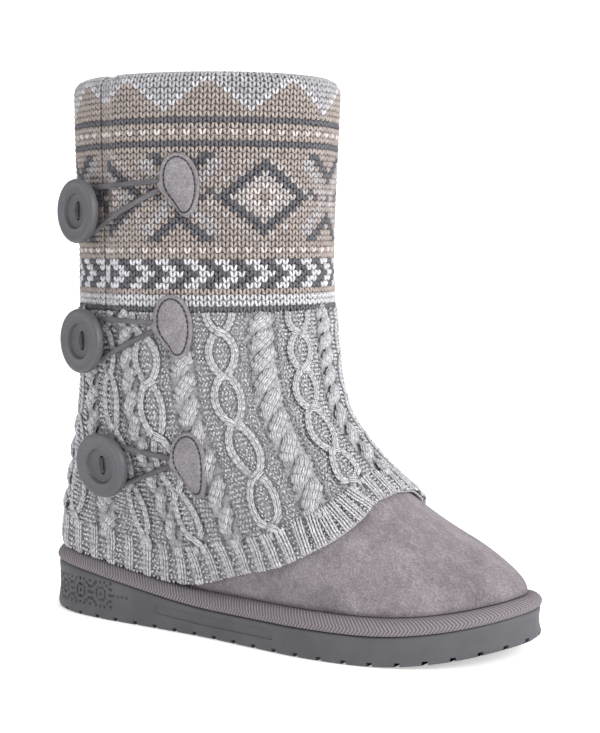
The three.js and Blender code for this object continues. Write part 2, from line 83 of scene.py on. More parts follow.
def srgb(*tone: float) -> Array:
    """Linear colour of a tone given as three numbers up to 255."""
    c = np.array(tone, float) / 255
    return np.where(c <= 0.04045, c / 12.92, ((c + 0.055) / 1.055) ** 2.4)


class Column:
    """Smooth reading of one column of a table against another, with no overshoot."""

    def __init__(self, x: Sequence[float] | Array, y: Sequence[float] | Array) -> None:
        """Takes the two columns, x rising.

        Args:
            x: the column read against, rising.
            y: the column that is read.
        """
        self.x, self.y = np.asarray(x, float), np.asarray(y, float)
        rate = np.diff(self.y) / np.diff(self.x)
        inner = np.zeros(len(rate) - 1)
        same = rate[:-1] * rate[1:] > 0
        inner[same] = 2 * (rate[:-1] * rate[1:])[same] / (rate[:-1] + rate[1:])[same]
        self.slope = np.concatenate([rate[:1], inner, rate[-1:]])

    def __call__(self, at: Values) -> Array:
        """The value at a place, by the cubic between the two rows round it.

        Args:
            at: places in the first column.

        Returns:
            Values of the second column.
        """
        at = np.clip(at, self.x[0], self.x[-1])
        i = np.clip(np.searchsorted(self.x, at, side="right") - 1, 0, len(self.x) - 2)
        span = self.x[i + 1] - self.x[i]
        t = (at - self.x[i]) / span
        rest = 1 - t
        return (
            self.y[i] * (1 + 2 * t) * rest**2
            + self.slope[i] * span * t * rest**2
            + self.y[i + 1] * (3 - 2 * t) * t**2
            - self.slope[i + 1] * span * t**2 * rest
        )


def spline(p0: Array, p1: Array, p2: Array, p3: Array, per: int) -> Array:
    """Centripetal Catmull-Rom pieces from each p1 to its p2.

    Args:
        p0: points before each piece.
        p1: starts of the pieces.
        p2: ends of the pieces.
        p3: points after each piece.
        per: points made for each piece.

    Returns:
        The points of all pieces in a row.
    """
    d0, d1, d2 = (
        np.maximum(1e-4, np.linalg.norm(b - a, axis=1, keepdims=True) ** 0.5)
        for a, b in ((p0, p1), (p1, p2), (p2, p3))
    )
    t1 = ((p1 - p0) / d0 - (p2 - p0) / (d0 + d1) + (p2 - p1) / d1) * d1
    t2 = ((p2 - p1) / d1 - (p3 - p1) / (d1 + d2) + (p3 - p2) / d2) * d1
    t = (np.arange(per) / per)[None, :, None]
    p1, p2, t1, t2 = (a[:, None, :] for a in (p1, p2, t1, t2))
    curve = p1 + t1 * t + (-3 * p1 + 3 * p2 - 2 * t1 - t2) * t**2 + (2 * p1 - 2 * p2 + t1 + t2) * t**3
    return curve.reshape(-1, p0.shape[1])


def closed_curve(points: Array, per: int) -> Array:
    """Smooth closed curve through points of the plane."""
    return spline(*(np.roll(points, shift, 0) for shift in (1, 0, -1, -2)), per)


def open_curve(points: Array, per: int) -> Array:
    """Smooth open curve through points of space."""
    ends = np.vstack([2 * points[0] - points[1], points, 2 * points[-1] - points[-2]])
    return np.vstack([spline(ends[:-3], ends[1:-2], ends[2:-1], ends[3:], per), points[-1:]])


def even_loop(points: Array, count: int) -> Array:
    """Evenly spaced points on a closed polygon of the plane.

    Args:
        points: corners of the polygon.
        count: number of points made.

    Returns:
        The points, without the first one again.
    """
    ring = np.vstack([points, points[:1]])
    run = np.concatenate([[0], np.cumsum(np.linalg.norm(np.diff(ring, axis=0), axis=1))])
    at = np.linspace(0, run[-1], count, endpoint=False)
    return np.stack([np.interp(at, run, ring[:, k]) for k in (0, 1)], -1)


def offset_loop(loop: Array, distance: Values) -> Array:
    """The loop moved outwards in plan by a distance, one for all or one for each point.

    Args:
        loop: points of the loop.
        distance: distances outwards.

    Returns:
        The moved points.
    """
    along = unit(np.roll(loop, -1, 0) - np.roll(loop, 1, 0))
    out = np.stack([along[:, 1], -along[:, 0]], -1)
    return loop + out * np.reshape(distance, (-1, 1))


# Along the sole, outer side and inner side, as shares.
OUTLINE = np.array([
    (0.035, 0.298, 0.298), (0.09, 0.433, 0.42), (0.18, 0.501, 0.487), (0.3, 0.5, 0.448),
    (0.42, 0.48, 0.39), (0.54, 0.49, 0.41), (0.65, 0.513, 0.467), (0.75, 0.503, 0.498),
    (0.84, 0.441, 0.477), (0.92, 0.316, 0.399), (0.975, 0.145, 0.27),
])
# Up, heel, front, width and part of the foot's loop, as shares.
LEVELS = np.array([
    (0, 0.254, 0.956, 0.713, 1), (0.025, 0.248, 0.929, 0.73, 1), (0.06, 0.224, 0.85, 0.73, 0.97),
    (0.094, 0.197, 0.732, 0.739, 0.88), (0.131, 0.164, 0.548, 0.757, 0.7),
    (0.174, 0.127, 0.364, 0.791, 0.45), (0.22, 0.09, 0.228, 0.835, 0.22),
    (0.271, 0.037, 0.123, 0.87, 0.08), (0.33, -0.015, 0.048, 0.904, 0),
    (0.398, -0.051, 0.009, 0.93, 0), (0.53, -0.045, -0.022, 0.957, 0),
    (0.652, -0.042, -0.031, 0.965, 0), (0.914, 0, -0.009, 1, 0), (1, 0.007, 0, 1.009, 0),
])
# Way from the heel to the toe and share of the hem's rise.
HEM = np.array([
    (0, 0), (0.3, 0), (0.38, 0.032), (0.45, 0.155), (0.53, 0.295), (0.6, 0.387), (0.69, 0.546),
    (0.78, 0.69), (0.86, 0.835), (0.93, 0.96), (1, 1),
])


@dataclass
class Last:
    """Form of the sole, foot and shaft, and of the sleeve's outer face."""

    sole_length: float = 272
    ball_width: float = 94
    heel_width: float = 72
    setback: float = 90
    toe_shift: float = 5.6
    toe_spring: float = 9
    spring_start: float = 0.75
    heel_height: float = 25
    fore_height: float = 13.5
    arch: tuple = (0.02, 0.46)
    seat_gap: float = 0.3
    wrap_height: float = 7
    wrap_inset: float = 6
    boot_height: float = 274
    shaft_length: float = 134
    shaft_width: float = 115
    rim_round: float = 6
    slope_fade: float = 55
    level_reach: float = 12
    slope_reach: float = 3
    step: float = 1 / 56
    hem_back: float = 0.7
    hem_front: float = 40
    hem_flare: float = 24
    layer_gap: float = 0.5
    hem_ease: float = 0.6
    hem_wall: float = 2.5
    sleeve_wall: float = 3.8

    def __post_init__(self) -> None:
        """Works out the loops and the readings of the tables."""
        raw = closed_curve(self._outline_points(), 60)
        self.outline = even_loop(raw, 1920)
        count = len(self.outline) // 2
        foot = even_loop(offset_loop(self.outline, -self.wrap_inset), count)
        angle = TURN * np.arange(count) / count
        oval = np.stack([-self.shaft_length * np.cos(angle), -self.shaft_width * np.sin(angle)], -1)
        oval = even_loop(oval, count)
        self._foot, self._oval = self._normal_loop(foot), self._normal_loop(oval)
        up = LEVELS[:, 0]
        self._heel, self._front, self._width, self._share = (Column(up, LEVELS[:, k]) for k in range(1, 5))
        self._hem = Column(HEM[:, 0], HEM[:, 1])
        self.platform_back = float(self.platform_top(self.wrap_inset - self.setback))
        self.collar_rise = self.boot_height - self.rim_round - self.platform_back

    def _outline_points(self) -> Array:
        """Places of the outline's table, from the heel by the outer side.

        Returns:
            The points, without the first one again.
        """
        along, outer, inner = OUTLINE.T
        width = mix(self.heel_width, self.ball_width, smooth(0.18, 0.65, along))
        x = along * self.sole_length - self.setback
        tip = [[self.sole_length - self.setback, self.toe_shift]]
        return np.vstack([[[-self.setback, 0]], np.stack([x, -outer * width], -1), tip,
                          np.stack([x, inner * width], -1)[::-1]])

    @staticmethod
    def _normal_loop(loop: Array) -> Array:
        """Loop scaled to a length of 1 from the heel and a half width of 1."""
        size = np.ptp(loop, axis=0)
        return np.stack([(loop[:, 0] - loop[:, 0].min()) / size[0], 2 * loop[:, 1] / size[1]], -1)

    def along(self, x: Values) -> Array:
        """Share of the sole's length at x."""
        return (np.asarray(x, float) + self.setback) / self.sole_length

    def bottom(self, x: Values) -> Array:
        """Height of the sole's underside, which rises at the toe."""
        past = np.maximum(0, (self.along(x) - self.spring_start) / (1 - self.spring_start))
        return self.toe_spring * past**2

    def rubber_top(self, x: Values) -> Array:
        """Height of the rubber's upper edge."""
        return mix(self.heel_height, self.fore_height, smooth(*self.arch, self.along(x))) + self.bottom(x)

    def platform_top(self, x: Values) -> Array:
        """Height of the platform under the upper."""
        return self.rubber_top(x) + self.seat_gap + self.wrap_height

    @staticmethod
    def _read(loop: Array, around: Array) -> Array:
        """Reads an even loop between its points.

        Args:
            loop: points at equal steps.
            around: shares of the way round.

        Returns:
            The points there.
        """
        at = (around % 1.0) * len(loop)
        i = np.floor(at).astype(int) % len(loop)
        t = (at - np.floor(at))[..., None]
        return loop[i] * (1 - t) + loop[(i + 1) % len(loop)] * t

    def face(self, around: Values, rise: Values) -> Array:
        """Points of the upper's outer face.

        Args:
            around: shares of the way round.
            rise: heights over the platform.

        Returns:
            An array of points with the arguments' common shape.
        """
        around, rise = np.broadcast_arrays(np.asarray(around, float), np.asarray(rise, float))
        up = rise / self.collar_rise
        half = self.shaft_length / 2
        back = -half * (1 + self._heel(up))
        front = half + (self.sole_length - self.setback - half) * self._front(up)
        share = self._share(up)[..., None]
        shape = self._read(self._oval, around) * (1 - share) + self._read(self._foot, around) * share
        x = mix(back, front, shape[..., 0])
        y = shape[..., 1] * self.shaft_width * self._width(up) / 2
        fade = 1 - smooth(0, self.slope_fade, rise)
        z = self.platform_back + rise + (self.platform_top(x) - self.platform_back) * fade
        return np.stack([x, y, z], -1)

    def normal(self, around: Values, rise: Values) -> Array:
        """Outward directions of the outer face, turned level near the platform.

        Args:
            around: shares of the way round.
            rise: heights over the platform.

        Returns:
            Unit vectors with the arguments' common shape.
        """
        around, rise = np.broadcast_arrays(np.asarray(around, float), np.asarray(rise, float))
        level = self.face(around + self.step, rise) - self.face(around - self.step, rise)
        high = self.face(around, np.minimum(self.collar_rise, rise + self.slope_reach))
        low = self.face(around, np.maximum(0, rise - self.slope_reach))
        out = unit(np.cross(level, high - low))
        out[..., 2] *= smooth(0, self.level_reach, rise)
        return unit(out)

    def layer(self, around: Values, rise: Values, off: Values) -> Array:
        """Points that lie off the outer face by a distance."""
        return self.face(around, rise) + self.normal(around, rise) * np.asarray(off, float)[..., None]

    def hem(self, around: Values) -> Array:
        """Height of the sleeve's hem over the platform."""
        return mix(self.hem_back, self.hem_front, self._hem(1 - np.abs(1 - 2 * (np.asarray(around) % 1.0))))

    def full(self, around: Values, rise: Values) -> Array:
        """How much of its full thickness the sleeve has."""
        return smooth(0, self.hem_flare, rise - self.hem(around))

    def knit_off(self, around: Values, rise: Values) -> Array:
        """Distance from the upper's face to the sleeve's outer face."""
        full = self.full(around, rise)
        return self.layer_gap + self.hem_ease * (1 - full) + mix(self.hem_wall, self.sleeve_wall, full)

    def knit(self, around: Values, rise: Values, lift: Values = 0.0) -> Array:
        """Points over the sleeve's outer face by a lift."""
        return self.layer(around, rise, self.knit_off(around, rise) + lift)


LAST = Last()


class Cloth:
    """A closed band of knit as a table of points, read smoothly between them."""

    def __init__(self, points: Array) -> None:
        """Takes points of shape rows, columns, 3, with the columns going round once.

        Args:
            points: places on the cloth, of shape rows, columns, 3.
        """
        self.points = points
        across = np.roll(points, -1, 1) - np.roll(points, 1, 1)
        up = np.gradient(points, axis=0)
        self.normals = unit(np.cross(across, up))
        step = np.linalg.norm(np.diff(points, axis=0), axis=2)
        self.height = float(step.sum(0).mean())

    @staticmethod
    def even(points: Array, rows: int) -> "Cloth":
        """Cloth whose rows lie at equal arc lengths up each column of the points.

        Args:
            points: places on the cloth, of shape rows, columns, 3.
            rows: number of rows made.

        Returns:
            The cloth.
        """
        run = np.concatenate([np.zeros((1, points.shape[1])),
                              np.cumsum(np.linalg.norm(np.diff(points, axis=0), axis=2), 0)])
        share = run / run[-1]
        at = np.linspace(0, 1, rows)
        table = [np.stack([np.interp(at, share[:, j], points[:, j, k]) for k in range(3)], -1)
                 for j in range(points.shape[1])]
        return Cloth(np.stack(table, 1))

    @staticmethod
    def _read(table: Array, around: Array, up: Array) -> Array:
        """Reads a table between its points.

        Args:
            table: vectors by row and column.
            around: shares of the way round.
            up: shares of the height.

        Returns:
            The vectors there.
        """
        rows, columns = table.shape[:2]
        a = (around % 1.0) * columns
        b = np.clip(up, 0, 1) * (rows - 1)
        i, j = np.floor(a).astype(int) % columns, np.minimum(np.floor(b).astype(int), rows - 2)
        s, t = (a - np.floor(a))[..., None], (b - j)[..., None]
        k = (i + 1) % columns
        low = table[j, i] * (1 - s) + table[j, k] * s
        high = table[j + 1, i] * (1 - s) + table[j + 1, k] * s
        return low * (1 - t) + high * t

    def at(self, around: Values, up: Values, lift: Values = 0.0) -> Array:
        """Points of the cloth, lifted off it.

        Args:
            around: shares of the way round.
            up: shares of the way from its lower edge to its upper one.
            lift: distances outwards in millimetres.

        Returns:
            An array of points.
        """
        around, up, lift = np.broadcast_arrays(*(np.asarray(v, float) for v in (around, up, lift)))
        return self._read(self.points, around, up) + self._read(self.normals, around, up) * lift[..., None]

    def axes(self, around: Values, up: Values) -> tuple[Array, Array, Array]:
        """Change of place for a whole turn and for the whole height, and the normal.

        Args:
            around: shares of the way round.
            up: shares of the height.

        Returns:
            Vectors across, up and outwards.
        """
        around, up = np.broadcast_arrays(np.asarray(around, float), np.asarray(up, float))
        e, f = 0.004, 0.012
        across = (self.at(around + e, up) - self.at(around - e, up)) / (2 * e)
        low, high = np.maximum(up - f, 0), np.minimum(up + f, 1)
        rise = (self.at(around, high) - self.at(around, low)) / (high - low)[..., None]
        return across, rise, unit(np.cross(across, rise))


def grid_faces(rows: int, columns: int, wrap_columns: bool = True, wrap_rows: bool = False) -> Array:
    """Four-sided faces between the points of a grid, counted row by row.

    Args:
        rows: number of rows of points.
        columns: number of points in a row.
        wrap_columns: whether each row is closed.
        wrap_rows: whether the last row joins the first.

    Returns:
        An array of shape faces, 4, turned outwards where rows go up and columns go round.
    """
    r = np.arange(rows if wrap_rows else rows - 1)
    c = np.arange(columns if wrap_columns else columns - 1)
    r, c = np.meshgrid(r, c, indexing="ij")
    r2, c2 = (r + 1) % rows, (c + 1) % columns
    quads = np.stack([r * columns + c, r * columns + c2, r2 * columns + c2, r2 * columns + c], -1)
    return quads.reshape(-1, 4)


def strips(ring: Array, rows: int) -> tuple[Array, Array, Array]:
    """Strips across a closed ring with an even number of points, with one pole at each end.

    Args:
        ring: the ring's points, with the poles at its start and half way.
        rows: number of points from one side to the other.

    Returns:
        The points of the strips by row and the poles; four-sided faces; faces at the poles.
    """
    half = len(ring) // 2
    k = np.arange(1, half)
    points = mix(ring[k], ring[len(ring) - k], np.linspace(0, 1, rows)[:, None, None])
    r = np.arange(rows - 1) * (half - 1)
    pole = np.full(rows - 1, rows * (half - 1))
    tips = [np.column_stack([pole, r, r + half - 1]),
            np.column_stack([r + half - 2, pole + 1, r + 2 * half - 3])]
    quads = grid_faces(rows, half - 1, wrap_columns=False)
    return np.vstack([points.reshape(-1, 3), ring[[0, half]]]), quads, np.concatenate(tips)


def grid_uv(rows: int, columns: int, width: float, height: float) -> Array:
    """Corner places for grid_faces on closed rows, not folded at the join.

    Args:
        rows: number of rows of points.
        columns: number of points in a row.
        width: length of a row.
        height: height of the grid.

    Returns:
        Two numbers for each corner of each face.
    """
    r, c = np.meshgrid(np.arange(rows - 1), np.arange(columns), indexing="ij")
    du, dv = width / columns, height / (rows - 1)
    corners = [(c, r), (c + 1, r), (c + 1, r + 1), (c, r + 1)]
    return np.stack([np.stack([a * du, b * dv], -1) for a, b in corners], 2).reshape(-1, 2)


@dataclass
class Build:
    """Points and faces of one piece, gathered part by part."""

    name: str
    points: list = field(default_factory=list)
    faces: list = field(default_factory=list)
    slots: list = field(default_factory=list)
    corners: list = field(default_factory=list)
    colours: list = field(default_factory=list)
    count: int = 0

    def add(self, points: Array, faces: Array, slot: Values = 0, uv: Array | None = None,
            colour: Values = 0.5) -> None:
        """Adds points in millimetres with their faces, material slot, corner places and colours.

        Args:
            points: places in millimetres.
            faces: corner numbers by face.
            slot: material slot, one for all or by face.
            uv: corner places in millimetres.
            colour: linear colours, one for all or by point.
        """
        points = np.asarray(points, float).reshape(-1, 3)
        faces = np.asarray(faces)
        self.points.append(points)
        self.faces.append(faces + self.count)
        self.slots.append(np.full(len(faces), slot) if np.isscalar(slot) else np.asarray(slot))
        self.corners.append(np.zeros((faces.size, 2)) if uv is None else np.asarray(uv, float))
        self.colours.append(np.broadcast_to(np.asarray(colour, float), (len(points), 3)))
        self.count += len(points)

    def extend(self, faces: Array, slot: int = 0, uv: Array | None = None) -> None:
        """Adds more faces between the points of the last part, numbered as in that part.

        Args:
            faces: corner numbers by face.
            slot: material slot.
            uv: corner places in millimetres.
        """
        faces = np.asarray(faces)
        self.faces.append(faces + self.count - len(self.points[-1]))
        self.slots.append(np.full(len(faces), slot))
        self.corners.append(np.zeros((faces.size, 2)) if uv is None else np.asarray(uv, float))

    def cap(self, ring: Array, under: bool) -> None:
        """Adds a flat cover over a ring, turned down if it is the under one.

        Args:
            ring: points of the ring, an even number.
            under: whether it is the under one.
        """
        points, quads, tips = strips(ring, 3)
        step = -1 if under else 1
        self.add(points, quads[:, ::step])
        self.extend(tips[:, ::step])

    def lids(self, rings: int, sides: int, slot: int = 0) -> None:
        """Closes the first and the last of the rings that were added last.

        Args:
            rings: number of rings.
            sides: points in a ring.
            slot: material slot.
        """
        side = np.arange(sides)[None]
        self.extend(side[:, ::-1], slot)
        self.extend(side + (rings - 1) * sides, slot)

    def tube(self, points: Array, radius: float, sides: int, slot: int = 0) -> None:
        """Adds a round tube along points, drawn together and closed at both ends.

        Args:
            points: places of its middle line.
            radius: its radius.
            sides: points round it.
            slot: material slot.
        """
        along = unit(np.gradient(points, axis=0))
        side = np.zeros_like(points)
        side[0] = unit(np.cross(along[0], (0.3, 0.2, 0.9)))
        for i in range(1, len(points)):
            side[i] = unit(side[i - 1] - along[i] * np.dot(side[i - 1], along[i]))
        top = np.cross(along, side)
        angle = (TURN * np.arange(sides) / sides)[:, None]
        ring = points[:, None] + radius * (np.cos(angle) * side[:, None] + np.sin(angle) * top[:, None])
        ends = [points[k, None] * 0.98 + ring[k] * 0.02 for k in (np.s_[:1], np.s_[-1:])]
        rings = np.concatenate([ends[0], ring, ends[1]])
        run = np.linalg.norm(np.diff(points, axis=0), axis=1).sum()
        self.add(rings, grid_faces(len(rings), sides), slot, grid_uv(len(rings), sides, sides, run))
        self.lids(len(rings), sides, slot)

    def finish(self, node: str | None, *finishes: "Finish") -> bpy.types.Object:
        """Makes the object, which rides on the root body.

        Args:
            node: the CAD node that it stands for.
            finishes: finishes by slot.

        Returns:
            The new object.
        """
        mesh = bpy.data.meshes.new(self.name)
        points = np.vstack(self.points) * MM
        faces = [row for part in self.faces for row in part.tolist()]
        mesh.from_pydata(points.tolist(), [], faces)
        uv = mesh.uv_layers.new(name="cloth")
        uv.data.foreach_set("uv", np.vstack(self.corners).astype(np.float32).ravel())
        # Point colours: the yarn's own colours times painted shade, and on the rubber the painted shade of
        # its marks and notches.
        tint = mesh.color_attributes.new("yarn", "FLOAT_COLOR", "POINT")
        rgba = np.concatenate([np.vstack(self.colours), np.ones((len(points), 1))], 1)
        tint.data.foreach_set("color", rgba.astype(np.float32).ravel())
        mesh.polygons.foreach_set("material_index", np.concatenate(self.slots).astype(np.int32))
        mesh.polygons.foreach_set("use_smooth", np.ones(len(faces), bool))
        for finish in finishes:
            mesh.materials.append(finish.material())
        mesh.update()
        piece = bpy.data.objects.new(self.name, mesh)
        bpy.context.collection.objects.link(piece)
        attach(piece, "root")
        if node:
            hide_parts(node)
        log.info("%s: %d points, %d faces", self.name, len(points), len(faces))
        return piece


class Graph:
    """Node tree of one material, with short calls for its nodes."""

    def __init__(self, name: str, roughness: float = 0.9, specular: float = 0.3) -> None:
        """Starts a material with one principled shader.

        Args:
            name: name of the material.
            roughness: roughness of its face.
            specular: strength of its gloss.
        """
        self.material = bpy.data.materials.new(name)
        self.material.use_nodes = True
        self.tree = self.material.node_tree
        self.tree.nodes.clear()
        self.shader = self.tree.nodes.new("ShaderNodeBsdfPrincipled")
        self.shader.inputs["Roughness"].default_value = roughness
        self.shader.inputs["Specular IOR Level"].default_value = specular
        out = self.tree.nodes.new("ShaderNodeOutputMaterial")
        self.tree.links.new(self.shader.outputs[0], out.inputs["Surface"])
        self.bump_in = None

    def set(self, node: bpy.types.Node, key: str | int, value: object) -> None:
        """Links an output to an input, or sets the input to a number or colour.

        Args:
            node: the node.
            key: its input.
            value: an output, a number or a colour.
        """
        if isinstance(value, bpy.types.NodeSocket):
            self.tree.links.new(value, node.inputs[key])
        elif isinstance(value, (tuple, list, np.ndarray)):
            value = tuple(float(v) for v in value)
            socket = node.inputs[key]
            socket.default_value = value + (1.0,) if socket.type == "RGBA" and len(value) == 3 else value
        else:
            node.inputs[key].default_value = value

    def cloth(self) -> tuple[Socket, Socket]:
        """Places along and up on the cloth, in millimetres.

        Returns:
            Two outputs.
        """
        node = self.tree.nodes.new("ShaderNodeUVMap")
        node.uv_map = "cloth"
        split = self.tree.nodes.new("ShaderNodeSeparateXYZ")
        self.tree.links.new(node.outputs[0], split.inputs[0])
        return split.outputs[0], split.outputs[1]

    def yarn(self) -> Socket:
        """Colour that the mesh carries.

        Returns:
            The colour's output.
        """
        node = self.tree.nodes.new("ShaderNodeVertexColor")
        node.layer_name = "yarn"
        return node.outputs["Color"]

    def noise(self, scale: float, detail: float = 3.0, stretch: tuple | None = None,
              rough: float = 0.55) -> Socket:
        """Soft noise about 0.5 at the place on the piece itself.

        Args:
            scale: patches to the metre.
            detail: finer layers.
            stretch: scale along each axis.
            rough: share of the finer layers.

        Returns:
            The noise's output.
        """
        node = self.tree.nodes.new("ShaderNodeTexNoise")
        where = self.tree.nodes.new("ShaderNodeTexCoord").outputs["Object"]
        if stretch is not None:
            turn = self.tree.nodes.new("ShaderNodeMapping")
            self.set(turn, "Scale", stretch)
            self.set(turn, "Vector", where)
            where = turn.outputs[0]
        for key, value in (("Vector", where), ("Scale", scale), ("Detail", detail), ("Roughness", rough)):
            self.set(node, key, value)
        return node.outputs["Fac"]

    def math(self, kind: str, *values: Socket | float) -> Socket:
        """Sum of numbers or outputs.

        Args:
            kind: kind of sum.
            values: its inputs.

        Returns:
            The result's output.
        """
        node = self.tree.nodes.new("ShaderNodeMath")
        node.operation = kind
        for i, value in enumerate(values):
            self.set(node, i, value)
        return node.outputs[0]

    def ramp(self, value: Socket, *stops: tuple) -> Socket:
        """Colour or grey by value; each stop is a place and a tone.

        Args:
            value: what is looked up.
            stops: pairs of a place and a tone.

        Returns:
            The tone's output.
        """
        node = self.tree.nodes.new("ShaderNodeValToRGB")
        self.set(node, "Fac", value)
        for i, (place, tone) in enumerate(stops):
            stop = node.color_ramp.elements[i] if i < 2 else node.color_ramp.elements.new(place)
            stop.position = place
            stop.color = (tone,) * 3 + (1.0,) if np.isscalar(tone) else tuple(tone) + (1.0,)
        return node.outputs["Color"]

    def times(self, a: Socket, b: Socket) -> Socket:
        """Product of two colours.

        Args:
            a: first colour.
            b: second colour.

        Returns:
            The product's output.
        """
        node = self.tree.nodes.new("ShaderNodeMix")
        node.data_type, node.blend_type = "RGBA", "MULTIPLY"
        self.set(node, 0, 1.0)
        self.set(node, 6, a)
        self.set(node, 7, b)
        return node.outputs[2]

    def bump(self, height: Socket, depth: float, strength: float = 1.0) -> None:
        """Adds relief of a depth in metres to the shader's normal.

        Args:
            height: height from 0 to 1.
            depth: depth of the relief in metres.
            strength: share of it that shows.
        """
        node = self.tree.nodes.new("ShaderNodeBump")
        self.set(node, "Height", height)
        self.set(node, "Distance", depth)
        self.set(node, "Strength", strength)
        if self.bump_in is not None:
            self.set(node, "Normal", self.bump_in)
        self.bump_in = node.outputs[0]
        self.set(self.shader, "Normal", self.bump_in)

    def colour(self, value: Socket | tuple) -> None:
        """Sets the shader's colour."""
        self.set(self.shader, "Base Color", value)

    def sheen(self, weight: float, tone: Array, rough: float = 0.5) -> None:
        """Pale nap that shows where the surface turns away.

        Args:
            weight: strength of the nap.
            tone: its colour.
            rough: how widely it shows.
        """
        self.set(self.shader, "Sheen Weight", weight)
        self.set(self.shader, "Sheen Tint", tone)
        self.set(self.shader, "Sheen Roughness", rough)


@dataclass(frozen=True)
class Suede:
    """Napped suede: soft cloudy tone, fine fibre grain and a pale sheen."""

    name: str = "suede"
    low: tuple = (112, 106, 111)
    high: tuple = (142, 135, 141)

    def make(self) -> bpy.types.Material:
        """Builds the material.

        Returns:
            The material.
        """
        g = Graph(self.name, 0.95, 0.12)
        cloud = g.noise(34, 6, stretch=(1.0, 1.6, 1.3), rough=0.62)
        base = g.ramp(cloud, (0.34, srgb(*self.low)), (0.66, srgb(*self.high)))
        brushed = g.ramp(g.noise(240, 4, stretch=(1.0, 2.2, 1.0), rough=0.6), (0.3, 0.87), (0.7, 1.12))
        grain = g.ramp(g.noise(1150, 3, rough=0.7), (0.32, 0.64), (0.68, 1.28))
        g.colour(g.times(g.times(base, brushed), grain))
        g.bump(g.noise(1300, 4, rough=0.7), 0.00035, 0.8)
        g.bump(g.noise(170, 3), 0.0007, 0.35)
        g.sheen(0.2, srgb(215, 210, 214), 0.4)
        return g.material


@dataclass(frozen=True)
class Yarn:
    """Brushed marled yarn: the stitch's own colour, flecks, twist and a little fuzz."""

    name: str = "yarn"
    wind: float = 1.6

    def make(self) -> bpy.types.Material:
        """Builds the material.

        Returns:
            The material.
        """
        g = Graph(self.name, 0.95, 0.1)
        flecks = g.ramp(g.noise(1000, 3, rough=0.75), (0.32, 0.66), (0.68, 1.24))
        g.colour(g.times(g.yarn(), flecks))
        along, up = g.cloth()
        wind = g.math("ADD", along, g.math("MULTIPLY", up, self.wind))
        g.bump(g.math("SINE", g.math("MULTIPLY", wind, TURN)), 0.00016, 0.7)
        g.bump(g.noise(2600, 3, rough=0.8), 0.00035, 0.8)
        g.sheen(0.12, srgb(235, 233, 235), 0.5)
        return g.material


@dataclass(frozen=True)
class HerringboneTape:
    """Woven tape round the platform: chevrons that point to the toe."""

    name: str = "tape"
    pitch: float = 1.8
    fold: float = 6.2
    low: tuple = (102, 96, 101)
    high: tuple = (139, 133, 138)

    def make(self) -> bpy.types.Material:
        """Builds the material.

        Returns:
            The material.
        """
        g = Graph(self.name, 0.92, 0.15)
        along, up = g.cloth()
        lean = g.math("ABSOLUTE", g.math("SUBTRACT", up, self.fold))
        phase = g.math("MULTIPLY", g.math("ADD", along, g.math("MULTIPLY", lean, 0.75)), TURN / self.pitch)
        line = g.math("SINE", phase)
        level = g.math("MULTIPLY_ADD", line, 0.5, 0.5)
        weave = g.ramp(level, (0.1, srgb(*self.low)), (0.9, srgb(*self.high)))
        flecks = g.ramp(g.noise(1400, 2, rough=0.7), (0.3, 0.86), (0.7, 1.1))
        g.colour(g.times(weave, flecks))
        g.bump(line, 0.00022, 0.8)
        g.bump(g.noise(2200, 3, rough=0.8), 0.0003, 0.6)
        g.sheen(0.04, srgb(210, 204, 210), 0.5)
        return g.material


@dataclass(frozen=True)
class Rubber:
    """Matt moulded rubber with faint handling marks."""

    name: str = "rubber"
    low: tuple = (74, 74, 78)
    high: tuple = (84, 83, 88)

    def make(self) -> bpy.types.Material:
        """Builds the material.

        Returns:
            The material.
        """
        g = Graph(self.name, 0.62, 0.32)
        cloud = g.noise(46, 5)
        base = g.ramp(cloud, (0.3, srgb(*self.low)), (0.7, srgb(*self.high)))
        g.colour(g.times(base, g.yarn()))
        g.set(g.shader, "Roughness", g.ramp(g.noise(120, 4), (0.3, 0.52), (0.7, 0.7)))
        g.bump(g.noise(1800, 3, rough=0.7), 0.00012, 0.7)
        g.bump(g.noise(60, 3), 0.0006, 0.25)
        return g.material


@dataclass(frozen=True)
class Plain:
    """Finish with one cloudy tone, grain and gloss.

    Used for the buttons, thread, cord, fleece and stitching.
    """

    name: str
    low: tuple
    high: tuple
    rough: float
    grain: float
    relief: float
    patch: float = 60
    fuzz: float = 0.0
    twist: float = 0.0

    def make(self) -> bpy.types.Material:
        """Builds the material.

        Returns:
            The material.
        """
        g = Graph(self.name, self.rough, 0.4 if self.rough < 0.7 else 0.12)
        base = g.ramp(g.noise(self.patch, 4), (0.3, srgb(*self.low)), (0.7, srgb(*self.high)))
        fine = g.noise(self.grain, 3, rough=0.75)
        g.colour(g.times(base, g.ramp(fine, (0.3, 0.82), (0.7, 1.12))))
        if self.twist:
            along, up = g.cloth()
            wind = g.math("MULTIPLY", g.math("ADD", g.math("MULTIPLY", along, 1.2), up), TURN / self.twist)
            g.bump(g.math("SINE", wind), 0.00025, 0.9)
        g.bump(fine, self.relief, 0.8)
        if self.fuzz:
            g.sheen(self.fuzz, srgb(225, 222, 224), 0.5)
        return g.material


